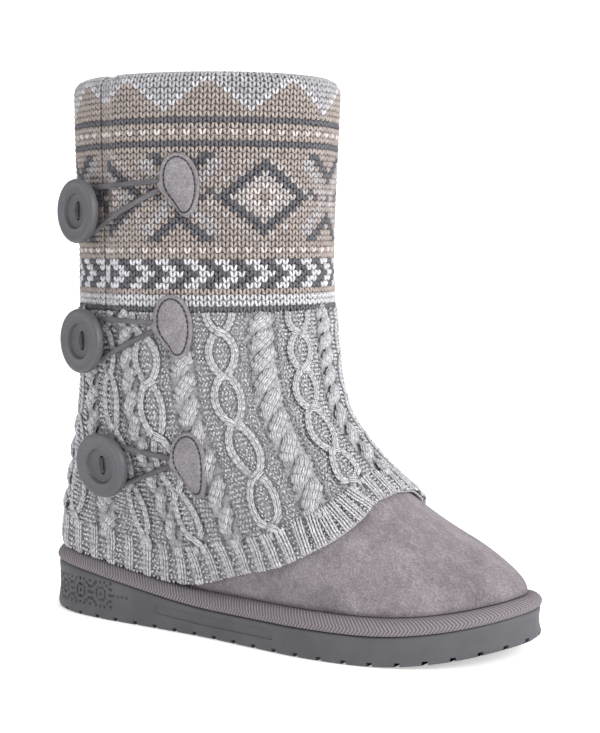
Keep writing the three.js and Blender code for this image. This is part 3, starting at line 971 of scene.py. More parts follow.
class Finish(Enum):
    """Finishes of the boot's pieces."""

    SUEDE = Suede()
    TAB = Suede("tab_suede", (118, 114, 117), (138, 134, 137))
    YARN = Yarn()
    TAPE = HerringboneTape()
    RUBBER = Rubber()
    FLEECE = Plain("fleece", (192, 188, 184), (214, 210, 206), 0.98, 420, 0.0012, 45, 0.4)
    BUTTON = Plain("button_resin", (76, 75, 80), (88, 87, 92), 0.5, 900, 0.00008, 40)
    THREAD = Plain("thread", (92, 91, 96), (116, 115, 120), 0.85, 2500, 0.0002, 300, 0.2, 1.1)
    CORD = Plain("elastic_cord", (104, 102, 106), (126, 124, 128), 0.85, 1900, 0.0002, 90, 0.1, 1.4)
    STITCH = Plain("tab_thread", (58, 55, 59), (76, 73, 77), 0.85, 2500, 0.0002, 300, 0.1, 0.9)

    @cache
    def material(self) -> bpy.types.Material:
        """The material, made once."""
        return self.value.make()


def along_loop(loop: Array) -> tuple[Array, float]:
    """Run of a closed plane loop up to each point, and its whole length."""
    step = np.linalg.norm(np.roll(loop, -1, 0) - loop, axis=1)
    return np.concatenate([[0], np.cumsum(step)[:-1]]), float(step.sum())


def read_loop(loop: Array, at: Array) -> Array:
    """Points of a closed plane loop at arc lengths.

    Args:
        loop: points of the loop.
        at: runs from its first point.

    Returns:
        The points there.
    """
    run, whole = along_loop(loop)
    ring, run = np.vstack([loop, loop[:1]]), np.append(run, whole)
    return np.stack([np.interp(at % whole, run, ring[:, k]) for k in (0, 1)], -1)


@dataclass
class Outsole:
    """Moulded rubber sole: notched lower edge, let-in marks on its heel sides, grooved tread."""

    notch_pitch: float = 12.9
    notch_width: float = 2.7
    notch_height: float = 2.2
    notch_depth: float = 6.5
    mark_cell: float = 1.5
    mark_fill: float = 0.42
    mark_waves: int = 5
    mark_tail: int = 7
    # Painted shade: colour factors that darken the let-in marks and the notches, where their recesses fall
    # into shade.
    mark_painted_shade: float = 0.5
    notch_painted_shade: float = 0.06
    mark_depth: float = 0.5
    mark_low: float = 6.0
    stripe: tuple = (0.165, 0.285)
    stripe_height: float = 4.5
    stripe_depth: float = 0.5
    tread_depth: float = 1.8
    tread_width: float = 3.2
    tread_edge: float = 0.12
    treads: tuple = ((0.08, 0.3, 5), (0.5, 0.9, 8))
    bottom_rows: int = 15
    side: tuple = ((-1.8, 0), (-0.9, 0.02), (-0.4, 0.05), (0, 0.13), (-0.55, 0.3), (-0.9, 0.5), (-0.75, 0.75),
                   (-0.4, 0.92), (-0.6, 0.97), (-1.2, 1))
    rosette: tuple = ("..#.#.#..", ".#.....#.", "#..###..#", "..#...#..", "#.#.#.#.#",
                      "..#...#..", "#..###..#", ".#.....#.", "..#.#.#..")

    def _columns(self) -> tuple[Array, Array]:
        """Arc lengths of the mesh columns, closer at the edges of each notch, and the notched ones.

        Returns:
            The arc lengths, and which of them are in a notch.
        """
        whole = along_loop(LAST.outline)[1]
        count = round(whole / self.notch_pitch)
        pitch, half = whole / count, self.notch_width / 2
        cut = np.array([-half, -half + 0.04, -half / 2, 0, half / 2, half - 0.04, half])
        rest = np.linspace(half, pitch - half, 21)[1:-1]
        at = np.concatenate([cut, rest])
        inside = np.abs(at) < half - 0.02
        start = (np.arange(count)[:, None] + 0.1) * pitch
        return (start + at).ravel(), np.tile(inside, count)

    def _marks(self, at: Array, height: Array, whole: float) -> Array:
        """Where the let-in marks are, by arc length and height over the underside.

        Args:
            at: arc lengths.
            height: heights over the underside.
            whole: length of the outline.

        Returns:
            1 where a mark is, else 0.
        """
        chart = np.array([[c == "#" for c in row] for row in self.rosette], float)
        rows, columns = chart.shape
        fold = np.minimum(at % whole, whole - at % whole)
        lane = fold / self.mark_cell
        wave = columns + 1
        i = np.floor(lane).astype(int)
        level = (height - self.mark_low) / self.mark_cell
        j = np.floor(level).astype(int)
        ends = self.mark_waves * wave
        good = (j >= 0) & (j < rows) & (i < ends)
        part = chart[np.clip(j, 0, rows - 1), np.minimum(i % wave, columns - 1)] * (i % wave < columns)
        link = (i % wave == columns) & (np.abs(j - rows // 2) % 2 == 0)
        tail = (i >= ends) & (i < ends + self.mark_tail) & (i % 2 == 0) & (j == rows // 2)
        within = [np.abs(at_cell % 1 - 0.5) < self.mark_fill for at_cell in (lane, level)]
        return (((part > 0) | link) & good | tail) * (within[0] & within[1])

    def build(self) -> None:
        """Makes the sole in one piece."""
        at, notched = self._columns()
        whole = along_loop(LAST.outline)[1]
        loop = read_loop(LAST.outline, at)
        x = loop[:, 0]
        low, high = LAST.bottom(x), LAST.rubber_top(x)
        across = Column([p[1] for p in self.side], [p[0] for p in self.side])
        first = np.array([0, 0.5, 1.0, 1.6, self.notch_height - 0.02, self.notch_height + 0.02])
        tall = high - low
        rest = mix((first[-1] + 0.3) / tall, 1, np.linspace(0, 1, 42)[:, None])
        share = np.vstack([first[:, None] / tall, rest])
        height = share * tall
        off = across(share)
        marks = self._marks(at[None, :], height, whole)
        sides = (at % whole) / whole
        band = np.abs(height - 0.6 * tall) < self.stripe_height / 2
        lengthwise = (sides > self.stripe[0]) & (sides < self.stripe[1])
        off = off - self.mark_depth * marks - self.stripe_depth * (band & lengthwise)
        cut = notched[None, :] & (height < self.notch_height)
        off = np.where(cut, off - self.notch_depth, off)
        along = unit(np.roll(loop, -1, 0) - np.roll(loop, 1, 0))
        out = np.stack([along[:, 1], -along[:, 0]], -1)
        plan = loop[None] + out[None] * off[..., None]
        rings = np.concatenate([plan, (low + height)[..., None]], -1)
        rows, columns = rings.shape[:2]
        # Painted shade in the recesses: marks at half tone, notches nearly black.
        tint = np.where(marks > 0, self.mark_painted_shade, 1.0) * np.where(cut, self.notch_painted_shade, 1.0)
        build = Build("rubber_sole")
        build.add(rings, grid_faces(rows, columns), colour=np.repeat(tint.reshape(-1, 1), 3, 1))
        self._bottom(build, rings[0])
        build.cap(rings[-1], False)
        piece = build.finish("outsole", Finish.RUBBER)
        piece.data.set_sharp_from_angle(angle=math.radians(38))

    def _bottom(self, build: Build, ring: Array) -> None:
        """Adds the underside, with the grooves of the tread.

        Args:
            build: the piece that takes it.
            ring: lowest points of the side.
        """
        points, quads, tips = strips(ring, self.bottom_rows)
        strip = points[:-2].reshape(self.bottom_rows, -1, 3)[1:-1]
        share = LAST.along(strip[..., 0])
        deep = np.zeros_like(share)
        for start, end, rows in self.treads:
            centre = start + (end - start) * (np.arange(rows) + 0.5) / rows
            near = np.abs(share[..., None] - centre).min(-1) * LAST.sole_length
            deep = np.maximum(deep, near < self.tread_width / 2)
        across = np.linspace(0, 1, self.bottom_rows)[1:-1, None]
        deep = deep * ((across > self.tread_edge) & (across < 1 - self.tread_edge))
        strip[..., 2] = LAST.bottom(strip[..., 0]) + self.tread_depth * deep
        build.add(points, quads[:, ::-1])
        build.extend(tips[:, ::-1])


@dataclass
class PlatformWrap:
    """Thin platform over the rubber, its edge wrapped in woven tape."""

    side: tuple = ((0.6, -0.02), (0.2, 0.0), (0.02, 0.06), (-0.06, 0.2), (-0.08, 0.34), (-0.02, 0.5),
                   (0.1, 0.64), (0.26, 0.78), (0.42, 0.88), (0.6, 0.95), (0.8, 0.985), (1.0, 1.0), (1.6, 1.0))
    columns: int = 720

    def build(self) -> None:
        """Makes the wrapped edge, with its places in millimetres for the weave."""
        loop = even_loop(LAST.outline, self.columns)
        whole = along_loop(loop)[1]
        rings = []
        for across, up in self.side:
            plan = offset_loop(loop, -across * LAST.wrap_inset)
            z = LAST.rubber_top(plan[:, 0]) + LAST.seat_gap + up * LAST.wrap_height
            rings.append(np.column_stack([plan, z]))
        rings = np.array(rings)
        r, c = np.meshgrid(np.arange(len(rings) - 1), np.arange(self.columns), indexing="ij")
        run = np.concatenate([[0], np.cumsum(np.hypot(*np.diff(np.array(self.side) * (6, 7), axis=0).T))])
        du = whole / self.columns
        side = np.where(c < self.columns / 2, c, self.columns - c) * du
        nxt = np.where(c < self.columns / 2, c + 1, self.columns - c - 1) * du
        uv = np.stack([side, run[r], nxt, run[r], nxt, run[r + 1], side, run[r + 1]], -1).reshape(-1, 2)
        build = Build("wrapped_platform")
        build.add(rings, grid_faces(len(rings), self.columns), uv=uv)
        build.cap(rings[0], True)
        build.cap(rings[-1], False)
        build.finish("platform_wrap", Finish.TAPE)


@dataclass(frozen=True)
class Crease:
    """Soft trough, or ridge if its depth is negative, on the foot.

    Ends are places in plan; width and depth are in millimetres.
    """

    start: tuple
    end: tuple
    width: float
    depth: float

    def at(self, points: Array) -> Array:
        """How far points sink along the outward direction.

        Args:
            points: places on the foot.

        Returns:
            Depths, less than 0 on a ridge.
        """
        a, b = np.array(self.start, float), np.array(self.end, float)
        along = b - a
        size = np.linalg.norm(along)
        along /= size
        rel = points[..., :2] - a
        t = rel @ along
        across = rel @ np.array([-along[1], along[0]])
        fade = self.width * 1.5
        ends = smooth(-self.width, fade, t) * (1 - smooth(size - fade, size + self.width, t))
        return self.depth * np.exp(-((across / self.width) ** 2)) * ends


@dataclass
class Upper:
    """Suede foot and inner shaft with a fleece lining, open at the collar."""

    wall: float = 2.6
    columns: int = 240
    first_rises: tuple = (0.3, 0.7, 1.2, 2, 3)
    bend_top: float = 70
    creases: tuple = (
        Crease((104, -38), (96, 6), 5.5, 0.55),
        Crease((112, -30), (109, 18), 4.5, -0.3),
        Crease((88, -40), (84, -12), 5, 0.45),
        Crease((100, 40), (92, 14), 6, 0.5),
        Crease((126, -26), (133, -8), 7, 0.35),
        Crease((146, 22), (128, 30), 8, 0.4),
    )

    def build(self) -> None:
        """Makes the suede outside and the fleece inside as one closed wall."""
        around = np.arange(self.columns) / self.columns
        top = LAST.collar_rise
        low, bend = self.first_rises, self.bend_top
        outer_rise = np.concatenate([low, np.arange(4.5, bend - 4, 1.6), np.linspace(bend, top, 9)])
        outer = np.array([self._outer(around, rise) for rise in outer_rise])
        inner_rise = np.concatenate([np.linspace(top, bend, 10), np.linspace(bend - 6, low[0], 22)])
        inner = np.array([LAST.layer(around, rise, np.full(self.columns, -self.wall)) for rise in inner_rise])
        rings = np.concatenate([outer, inner])
        rows = len(rings)
        faces = grid_faces(rows, self.columns, wrap_rows=True)
        slot = np.repeat((np.arange(rows) >= len(outer) - 1).astype(int), self.columns)
        build = Build("suede_upper")
        build.add(rings, faces, slot=slot)
        build.finish("upper", Finish.SUEDE, Finish.FLEECE)

    def _outer(self, around: Array, rise: float) -> Array:
        """One ring of the outside, tucked in at the platform and creased.

        Args:
            around: shares of the way round.
            rise: height over the platform.

        Returns:
            The ring's points.
        """
        face = LAST.face(around, rise)
        sink = sum(crease.at(face) for crease in self.creases) * smooth(2, 14, rise)
        tuck = 0.9 * (1 - smooth(0, 2.6, rise))
        wave = np.sin(around * TURN * 23 + 1.3) * np.sin(around * TURN * 9)
        swell = 0.18 * wave * (1 - smooth(4, 18, rise))
        return LAST.layer(around, rise, swell - tuck - sink)


@dataclass
class Insole:
    """Fleece insole inside the upper."""

    gap: float = 0.9
    thickness: float = 3.5
    edge: tuple = ((0, 0), (0.6, 0), (0.93, 0.6), (1, 2))
    columns: int = 160

    def build(self) -> None:
        """Makes the pad with a softly rounded edge."""
        around = np.arange(self.columns) / self.columns
        off = -Upper.wall - self.gap
        rings = np.array([
            LAST.layer(around, LAST.seat_gap + self.thickness * share, np.full(self.columns, off - inset))
            for share, inset in self.edge
        ])
        build = Build("fleece_insole")
        build.add(rings, grid_faces(len(rings), self.columns))
        build.cap(rings[0], True)
        build.cap(rings[-1], False)
        build.finish("insole", Finish.FLEECE)


class Tone(Enum):
    """Yarns of the sleeve."""

    MARL = (186, 185, 189)
    PANEL = (212, 211, 216)
    LIGHT = (216, 215, 220)
    TAN = (178, 167, 162)
    CREAM = (226, 216, 213)
    WHITE = (228, 228, 233)
    DARK = (108, 108, 114)
    MIST = (194, 188, 187)
    PALE = (190, 186, 188)


@dataclass
class Leg:
    """One leg of a knit stitch: a fat arch between two tips, in shares of column and row."""

    foot: float = 0.07
    head: float = 0.37
    low: float = -0.62
    high: float = 0.66
    thick: float = 0.23
    tall: float = 0.62
    arch: float = 0.55

    def template(self, side: int) -> tuple[Array, Array, Array]:
        """Points of the leg on one side of its stitch, with painted shade and places for the twist.

        Args:
            side: -1 or 1.

        Returns:
            Points, their painted shade and their places on the yarn.
        """
        t = np.array([0.16, 0.5, 0.84])
        swell = np.array([0.78, 1.0, 0.9])
        angle = np.radians([-45, 45, 135, 225])
        x0, x1 = side * self.foot, side * self.head
        cx, cy = mix(x0, x1, t**0.8), mix(self.low, self.high, t)
        cz = self.arch * np.sin(np.pi * t)
        ring = np.stack([
            cx[:, None] + self.thick * swell[:, None] * np.cos(angle),
            np.repeat(cy[:, None], 4, 1),
            cz[:, None] + self.tall * swell[:, None] * np.sin(angle),
        ], -1).reshape(-1, 3)
        tips = np.array([[x0, self.low, -0.25], [x1, self.high, -0.25]])
        points = np.vstack([tips[:1], ring, tips[1:]])
        # Painted shade: the tips, where the leg dives under its neighbours, are darker than its middle.
        painted_shade = np.concatenate([[0.72], np.repeat([0.92, 1.03, 0.96], 4), [0.74]])
        uv = np.column_stack([np.concatenate([[1.2], np.tile([0, 0.8, 1.6, 2.4], 3), [1.2]]),
                              np.concatenate([[0], np.repeat(t, 4), [1]]) * 3.6])
        return points, painted_shade, uv

    @staticmethod
    def bump() -> "Leg":
        """A purl bump: short, lying across the column."""
        return Leg(foot=-0.26, head=0.26, thick=0.5, tall=0.6, arch=0.45)

    def lying(self) -> tuple[Array, Array, Array]:
        """Points of a leg that lies across its stitch, bent up in the middle.

        Returns:
            Points, their painted shade and their places on the yarn.
        """
        t = np.array([0.28, 0.72])
        angle = np.radians([-45, 45, 135, 225])
        x = mix(self.foot, self.head, t)
        ring = np.stack([np.repeat(x[:, None], 4, 1), self.thick * np.cos(angle) + 0.3 + 0 * x[:, None],
                         self.arch + self.tall * np.sin(angle) + 0 * x[:, None]], -1).reshape(-1, 3)
        tips = np.array([[self.foot * 1.12, -0.25, -0.2], [self.head * 1.12, -0.25, -0.2]])
        # Painted shade: the bump's tips, where it tucks under, are darker than its middle.
        painted_shade = np.concatenate([[0.7], np.full(8, 1.0), [0.7]])
        uv = np.column_stack([np.concatenate([[1.2], np.tile([0, 0.8, 1.6, 2.4], 2), [1.2]]),
                              np.concatenate([[0], np.repeat(t, 4), [1]]) * 2.2])
        return np.vstack([tips[:1], ring, tips[1:]]), painted_shade, uv

    @staticmethod
    def faces() -> tuple[Array, Array]:
        """Quads and triangles of the template, turned outwards.

        Returns:
            Faces with four and with three corners.
        """
        k = np.arange(4)
        n = (k + 1) % 4
        quads = np.concatenate([np.stack([1 + r + k, 1 + r + n, 5 + r + n, 5 + r + k], -1) for r in (0, 4)])
        tips = np.concatenate([np.stack([np.zeros(4, int), 1 + n, 1 + k], -1),
                               np.stack([9 + k, 9 + n, np.full(4, 13)], -1)])
        return quads[:, ::-1], tips[:, ::-1]


class Stitches:
    """Many knit stitches as one mesh."""

    def __init__(self, leg: Leg, seed: int) -> None:
        """Takes the leg's shape and a seed for the yarn's variation."""
        self.leg, self.chance = leg, np.random.default_rng(seed)

    def lay(self, build: Build, centre: Array, across: Array, up: Array, normal: Array, colour: Array,
            vary: float = 0.05) -> None:
        """Lays stitches into a build.

        Args:
            build: the Build that takes them.
            centre: middles, of shape count, 3.
            across: vectors as wide as a column.
            up: vectors as tall as a row.
            normal: outward unit vectors.
            colour: linear colours, one each.
            vary: spread of the yarn's lightness.
        """
        count = len(centre)
        drift = self.chance.normal(0, vary, (count, 1))
        sway = self.chance.normal(0, 0.03, (count, 2))
        for side in (-1, 1):
            points, painted_shade, uv = self.leg.template(side)
            x = points[None, :, 0] + sway[:, :1] * 0.6
            y = points[None, :, 1] + sway[:, 1:]
            own = self.chance.normal(1, vary * 0.6, (count, 1))
            place = (centre[:, None] + across[:, None] * x[..., None] + up[:, None] * y[..., None]
                     + normal[:, None] * points[None, :, 2:])
            # Yarn colour with random lightness, times the legs' painted shade.
            tone = colour[:, None] * ((1 + drift) * own)[:, None] * painted_shade[None, :, None]
            quads, tips = self.leg.faces()
            base = (np.arange(count) * len(points))[:, None, None]
            quads, tips = (quads + base).reshape(-1, 4), (tips + base).reshape(-1, 3)
            self._put(build, place, quads, tips, uv, tone)

    def lay_bumps(self, build: Build, centre: Array, across: Array, up: Array, normal: Array,
                  turned: Array, colour: Array, vary: float) -> None:
        """Lays purl bumps; turned is 1 or -1 for bumps bent up or down.

        Args:
            build: the Build that takes them.
            centre: middles, of shape count, 3.
            across: vectors as wide as a column.
            up: vectors as tall as a row.
            normal: outward unit vectors.
            turned: 1 or -1 for a bump bent up or down.
            colour: linear colours, one each.
            vary: spread of the yarn's lightness.
        """
        count = len(centre)
        points, painted_shade, uv = self.leg.lying()
        lean = self.chance.normal(0, 0.5, (count, 1)) + 0.5 * turned[:, None]
        y = points[None, :, 1] * turned[:, None] + points[None, :, 0] * lean
        place = (centre[:, None] + across[:, None] * points[None, :, :1] + up[:, None] * y[..., None]
                 + normal[:, None] * points[None, :, 2:])
        # Bump colour with random lightness, times its painted shade.
        tone = colour[:, None] * self.chance.normal(1, vary, (count, 1, 1)) * painted_shade[None, :, None]
        k = np.arange(4)
        n = (k + 1) % 4
        base = (np.arange(count) * len(points))[:, None, None]
        flip = turned > 0
        quads = np.stack([1 + k, 5 + k, 5 + n, 1 + n], -1)
        tips = np.concatenate([np.stack([np.zeros(4, int), 1 + k, 1 + n], -1),
                               np.stack([np.full(4, 9), 5 + n, 5 + k], -1)])
        quads, tips = quads + base, tips + base
        quads[flip], tips[flip] = quads[flip][..., ::-1], tips[flip][..., ::-1]
        self._put(build, place, quads.reshape(-1, 4), tips.reshape(-1, 3), uv, tone)

    def _put(self, build: Build, place: Array, quads: Array, tips: Array, uv: Array, tone: Array) -> None:
        """Adds meshes of stitches, each cut from its own length of yarn.

        Args:
            build: the Build that takes them.
            place: points by stitch.
            quads: faces with four corners.
            tips: faces with three corners.
            uv: places on the yarn of one stitch's points.
            tone: linear colours by point.
        """
        count = len(place)
        spread = np.tile(uv, (count, 1)) + np.repeat(self.chance.uniform(0, 9, (count, 1)), len(uv), 0)
        build.add(place, quads, uv=spread[quads.ravel()], colour=np.clip(tone, 0, 1).reshape(-1, 3))
        build.extend(tips, uv=spread[tips.ravel()])


@dataclass
class PatternBand:
    """Upper half of the sleeve: stockinette with a stranded pattern, turned over the collar."""

    rows_out: int = 39
    row: float = 2.8
    columns: int = 107
    seam: float = 0.205
    start: float = 125.9
    rim_row: int = 28
    stitch_off: float = -0.75
    ground_off: float = -1.35
    seam_depth: float = 1.3
    seam_width: float = 3.2
    rim_off: float = -1.2
    rim_reach: float = 5.5
    lining_off: float = -6.7
    fold: float = 20
    leg: Leg = field(default_factory=Leg)

    def cloth(self) -> Cloth:
        """The band as a table, from the dark row up, over the rim and down inside.

        Returns:
            The table.
        """
        around = np.arange(CLOTH_COLUMNS) / CLOTH_COLUMNS
        out = [LAST.knit(around, rise) for rise in np.linspace(self.start, LAST.collar_rise, 60)]
        angle = np.linspace(0, np.pi, 14)[1:-1]
        top = LAST.collar_rise
        flat = np.ones(CLOTH_COLUMNS)
        rim = [LAST.layer(around, top, flat * (self.rim_off + self.rim_reach * math.cos(a)))
               + [0, 0, LAST.rim_round * math.sin(a)] for a in angle]
        inside = [LAST.layer(around, rise, flat * self.lining_off)
                  for rise in np.linspace(top, top - self.fold, 12)]
        return Cloth.even(np.array(out + rim + inside), 200)

    def chart(self, c: Array, r: Array) -> Array:
        """Tones of the pattern by column and row, as an array of Tone numbers.

        Args:
            c: column of each stitch.
            r: row of each stitch.

        Returns:
            Numbers of tones in Tone.
        """
        tones = list(Tone)
        n = {tone.name: i for i, tone in enumerate(tones)}
        c, r = np.broadcast_arrays(c, r)
        out = np.full(c.shape, n["MARL"])

        def put(where: Array, tone: str) -> None:
            """Colours the stitches where a test holds."""
            out[where] = n[tone]

        put(r == 0, "DARK")
        put((r == 1) | (r == 2), "LIGHT")
        put((r >= 3) & (r <= 33), "TAN")
        phase = 2 - np.abs(r - 6)
        put((r >= 4) & (r <= 8), "DARK")
        put((r >= 4) & (r <= 8) & ((c - phase) % 4 < 2), "WHITE")
        put(((r == 10) | (r == 30)) & (c % 2 == 0), "CREAM")
        put((r == 28) | (r == 32), "DARK")
        self._motif(put, c, r)
        valley = 34 + np.abs((c - 9 + 5) % 11 - 5)
        put((r >= 33) & (r < valley) & (r < self.rows_out + 1), "TAN")
        put((r >= 34) & (r == valley), "LIGHT")
        return out

    @staticmethod
    def _motif(put: Callable[[Array, str], None], c: Array, r: Array) -> None:
        """Diamonds, with crosses half way between them.

        Args:
            put: colours the stitches where a test holds.
            c: column of each stitch.
            r: row of each stitch.
        """
        i = r - 19
        band = np.abs(i) <= 8
        j = (c - 22 + 11) % 22 - 11
        far = np.abs(j) + np.abs(i)
        k = (c - 11 + 11) % 22 - 11
        put(band & (np.abs(np.abs(k) - 0.7 * np.abs(i) - 0.6) <= 0.9) & (np.abs(i) <= 6), "PALE")
        put(band & ((far == 7) | (far == 8)) & ((c + r) % 3 == 0), "MIST")
        put(band & (far <= 4), "MIST")
        put(band & (far == 2), "CREAM")
        put(band & (far <= 1), "TAN")
        put(band & ((far == 5) | (far == 6)) & (np.abs(i) <= 6), "DARK")
        arm = np.abs(i) - 3.5
        put(band & (np.abs(i) >= 3) & (np.abs(i) <= 7) & (np.abs(np.abs(k) - arm) <= 0.6), "DARK")
        put(band & (i == 0) & (np.abs(k) == 3), "DARK")
        put(band & (i == 1) & (np.abs(k) == 4), "DARK")
        put(band & (i == 0) & (k == 0), "DARK")

    def build(self) -> None:
        """Makes the stitches, in two pieces, and the ground under them."""
        cloth = self.cloth()
        rows = int(cloth.height / self.row)
        tones = np.array([srgb(*tone.value) for tone in Tone])
        r, c = np.meshgrid(np.arange(rows), np.arange(self.columns), indexing="ij")
        around = self.seam + (c + 0.5) / self.columns
        up = (r + 0.5) / rows
        beside = ((around - self.seam + 0.5) % 1 - 0.5) * LAST.shaft_length * 3
        lift = self.stitch_off - self.seam_depth * np.exp(-((beside / self.seam_width) ** 2))
        colour = tones[self.chart(c, r)]
        across, rise, normal = cloth.axes(around, up)
        centre = cloth.at(around, up, lift)
        split = self.rim_row
        for name, low, high in (("pattern_stitches", 0, split), ("rim_stitches", split, rows)):
            build = Build(name)
            pick = np.s_[low:high]
            Stitches(self.leg, 11 + low).lay(
                build, centre[pick].reshape(-1, 3), (across[pick] / self.columns).reshape(-1, 3),
                (rise[pick] / rows).reshape(-1, 3), normal[pick].reshape(-1, 3), colour[pick].reshape(-1, 3))
            build.finish("knit_sleeve", Finish.YARN)
        self._ground(cloth, rows, tones)

    def _ground(self, cloth: Cloth, rows: int, tones: Array) -> None:
        """Sheet behind the stitches, its colour darkened as painted shade where they part.

        Args:
            cloth: the band's table.
            rows: rows of stitches.
            tones: linear colours by number.
        """
        r, c = np.meshgrid(np.linspace(0, rows, rows + 1), np.arange(2 * self.columns), indexing="ij")
        around = self.seam + c / 2 / self.columns
        points = cloth.at(around, r / rows, self.ground_off)
        row = np.minimum(np.floor(r).astype(int), rows - 1)
        # Chart colours darkened as painted shade for the gaps between the stitches.
        tone = tones[self.chart(np.floor(c / 2).astype(int), row)] * PAINTED_SHADE_UNDER
        behind = cloth.at(around[-1:], 1.0, -3.2)
        lip = points[-1:] + np.array([0, 0, -0.8])
        points = np.concatenate([points, lip, behind, behind + [0, 0, 6]])
        tone = np.concatenate([tone, tone[-1:], tone[-1:], tone[-1:]])
        build = Build("pattern_ground")
        build.add(points, grid_faces(len(points), 2 * self.columns), colour=tone.reshape(-1, 3))
        build.finish("knit_sleeve", Finish.YARN)


@dataclass
class Plait:
    """Cable of two plump strands turned round each other."""

    around: float
    phase: float = 0.0
    full: float = 17.5
    reach: float = 3.6
    strand: float = 8.2
    columns: int = 4

    @property
    def half(self) -> float:
        """Half of the cable's width."""
        return self.reach + self.strand / 2


@dataclass(frozen=True)
class Chain:
    """Two ribs that part and cross, leaving a row of ovals."""

    around: float
    first: float = 16.5
    pitch: float = 17.8
    reach: float = 6.2
    strand: float = 3.4

    def apart(self, down: Array) -> Array:
        """How far apart its ribs are, by the knit below the dark row, signed by which leads."""
        wave = np.sin(np.pi * ((down - self.first) / self.pitch + 0.5))
        return np.sign(wave) * np.abs(wave) ** 0.6


@dataclass
class CablePanel:
    """Lower half of the sleeve: plaits and oval chains on purl, and a ribbed hem."""

    row: float = 2.0
    column: float = 2.9
    rib_height: float = 15
    ribs: int = 50
    first_rib: float = 0.008
    rib_rows: int = 7
    plait_off: float = -0.7
    plait_swing: float = 1.9
    plait_hidden: float = -0.3
    core_sides: int = 6
    core_width: float = 0.43
    core_height: float = 0.9
    core_off: float = -0.6
    sheet_grid: tuple = (44, 240)
    sheet_off: float = -1.5
    bump_grid: tuple = (98, 226)
    bump_off: float = -0.85
    bump_gain: float = 1.16
    swell_height: float = 1.2
    # Painted shadow beside the strands: how much it darkens the purl and how wide it reaches.
    shadow_depth: float = 0.62
    shadow_width: float = 1.3
    shift: float = 0.044
    stretch: float = 0.45
    leg: Leg = field(default_factory=lambda: Leg(foot=0.08, head=0.34, thick=0.25, tall=0.6, arch=0.4))
    plaits: tuple = (Plait(0.508), Plait(0.408, 5), Plait(0.308, 4, reach=3.2, strand=7.4),
                     Plait(0.231, 2.5, 16, 2.6, 6.2), Plait(0.150), Plait(0.055, 6), Plait(0.608, 3),
                     Plait(0.708), Plait(0.808, 5), Plait(0.905))
    chains: tuple = (Chain(0.458, 21), Chain(0.358, 18), Chain(0.261, 19), Chain(0.197, 16, reach=4.6),
                     Chain(0.103), Chain(0.004, 15), Chain(0.558), Chain(0.658, 14), Chain(0.758),
                     Chain(0.858, 15), Chain(0.957))

    def __post_init__(self) -> None:
        """Works out the panel's table, from the hem up to the dark row."""
        around = np.arange(CLOTH_COLUMNS) / CLOTH_COLUMNS
        hem = LAST.hem(around)
        rises = [mix(hem, PatternBand.start, t) for t in np.linspace(0, 1, 120)]
        self.cloth = Cloth.even(np.array([LAST.knit(around, rise) for rise in rises]), 160)
        self.size = self.cloth.height
        self.yarn = srgb(*Tone.PANEL.value)

    def down(self, run: Array) -> Array:
        """Knit below the dark row at a distance over the hem; the knit is stretched lower down.

        Args:
            run: distances over the hem.

        Returns:
            The lengths of knit.
        """
        share = 1 - run / self.size
        b = self.stretch
        turn = (np.sqrt(1 + 4 * b * (1 + b) * np.maximum(share, 0)) - 1) / (2 * b)
        return turn * self.size / (1 + b)

    def courses(self) -> Array:
        """Distances over the hem of the rows of stitches above the ribs.

        Returns:
            The distances, from the hem up.
        """
        grid = np.linspace(self.rib_height - 2, self.size, 400)
        knit = self.down(grid)
        rows = int(knit[0] / self.row)
        return np.interp((np.arange(rows) + 0.5)[::-1] * knit[0] / rows, knit[::-1], grid[::-1])

    def lean(self, around: Values, run: Array) -> Array:
        """Place of a column lower down, pulled back towards the heel on each side.

        Args:
            around: the column's place at the top.
            run: distances over the hem.

        Returns:
            Shares of the way round.
        """
        rise = mix(LAST.hem(around), PatternBand.start, run / self.size)
        side = np.clip(1.6 * np.sin(TURN * around), -1, 1)
        return around - self.shift * side * (1 - smooth(10, 70, rise))

    def _strand(self, build: Build, stitches: Stitches, around: float, run: Array, across: Along,
                lift: Along, width: float, columns: int, roll: float, keep: Along) -> None:
        """Lays one strand of columns of stitches along a path.

        Args:
            build: the Build that takes the stitches.
            stitches: the Stitches that lay them.
            around: the column's place at the top of the panel.
            run: distances of the rows over the hem.
            across: function of the run that gives the strand's sideways place.
            lift: function of the run that gives its height over the knit's face.
            width: width of the strand.
            columns: number of columns of stitches in it.
            roll: how far its outer columns turn outwards, in radians.
            keep: function of the run that tells which rows are made.
        """
        def place(s: Array) -> tuple[Array, Array]:
            """Points of the path and their shares of the way round."""
            lane = self.lean(around, s)
            girth = np.linalg.norm(self.cloth.axes(lane, s / self.size)[0], axis=-1)
            return self.cloth.at(lane + across(s) / girth, s / self.size, lift(s)), lane + across(s) / girth

        centre, lane = place(run)
        step = self.row / 2
        along = (place(run + step)[0] - place(run - step)[0]) / (2 * step)
        tangent = unit(along)
        normal = self.cloth.axes(lane, run / self.size)[2]
        normal = unit(normal - tangent * (normal * tangent).sum(-1, keepdims=True))
        side = np.cross(tangent, normal)
        good = keep(run)
        tall = along * np.abs(np.gradient(run))[:, None]
        sides = self.core_sides
        angle = (TURN * (np.arange(sides) + 0.5) / sides)[:, None]
        core = (centre[:, None] + side[:, None] * (self.core_width * width * np.cos(angle))
                + normal[:, None] * (self.core_height * np.sin(angle) + self.core_off))
        # Core under the stitches, its colour darkened as painted shade.
        build.add(core[::-1], grid_faces(len(core), sides), colour=self.yarn * PAINTED_SHADE_UNDER)
        build.lids(len(core), sides)
        for k in np.linspace(-1, 1, columns):
            turn = roll * k
            out = normal * math.cos(turn) + side * math.sin(turn)
            wide = side * math.cos(turn) - normal * math.sin(turn)
            drop = normal * (0.3 * width * (1 - math.cos(turn)))
            middle = centre + side * (k * width * (1 - 1 / columns) / 2) - drop
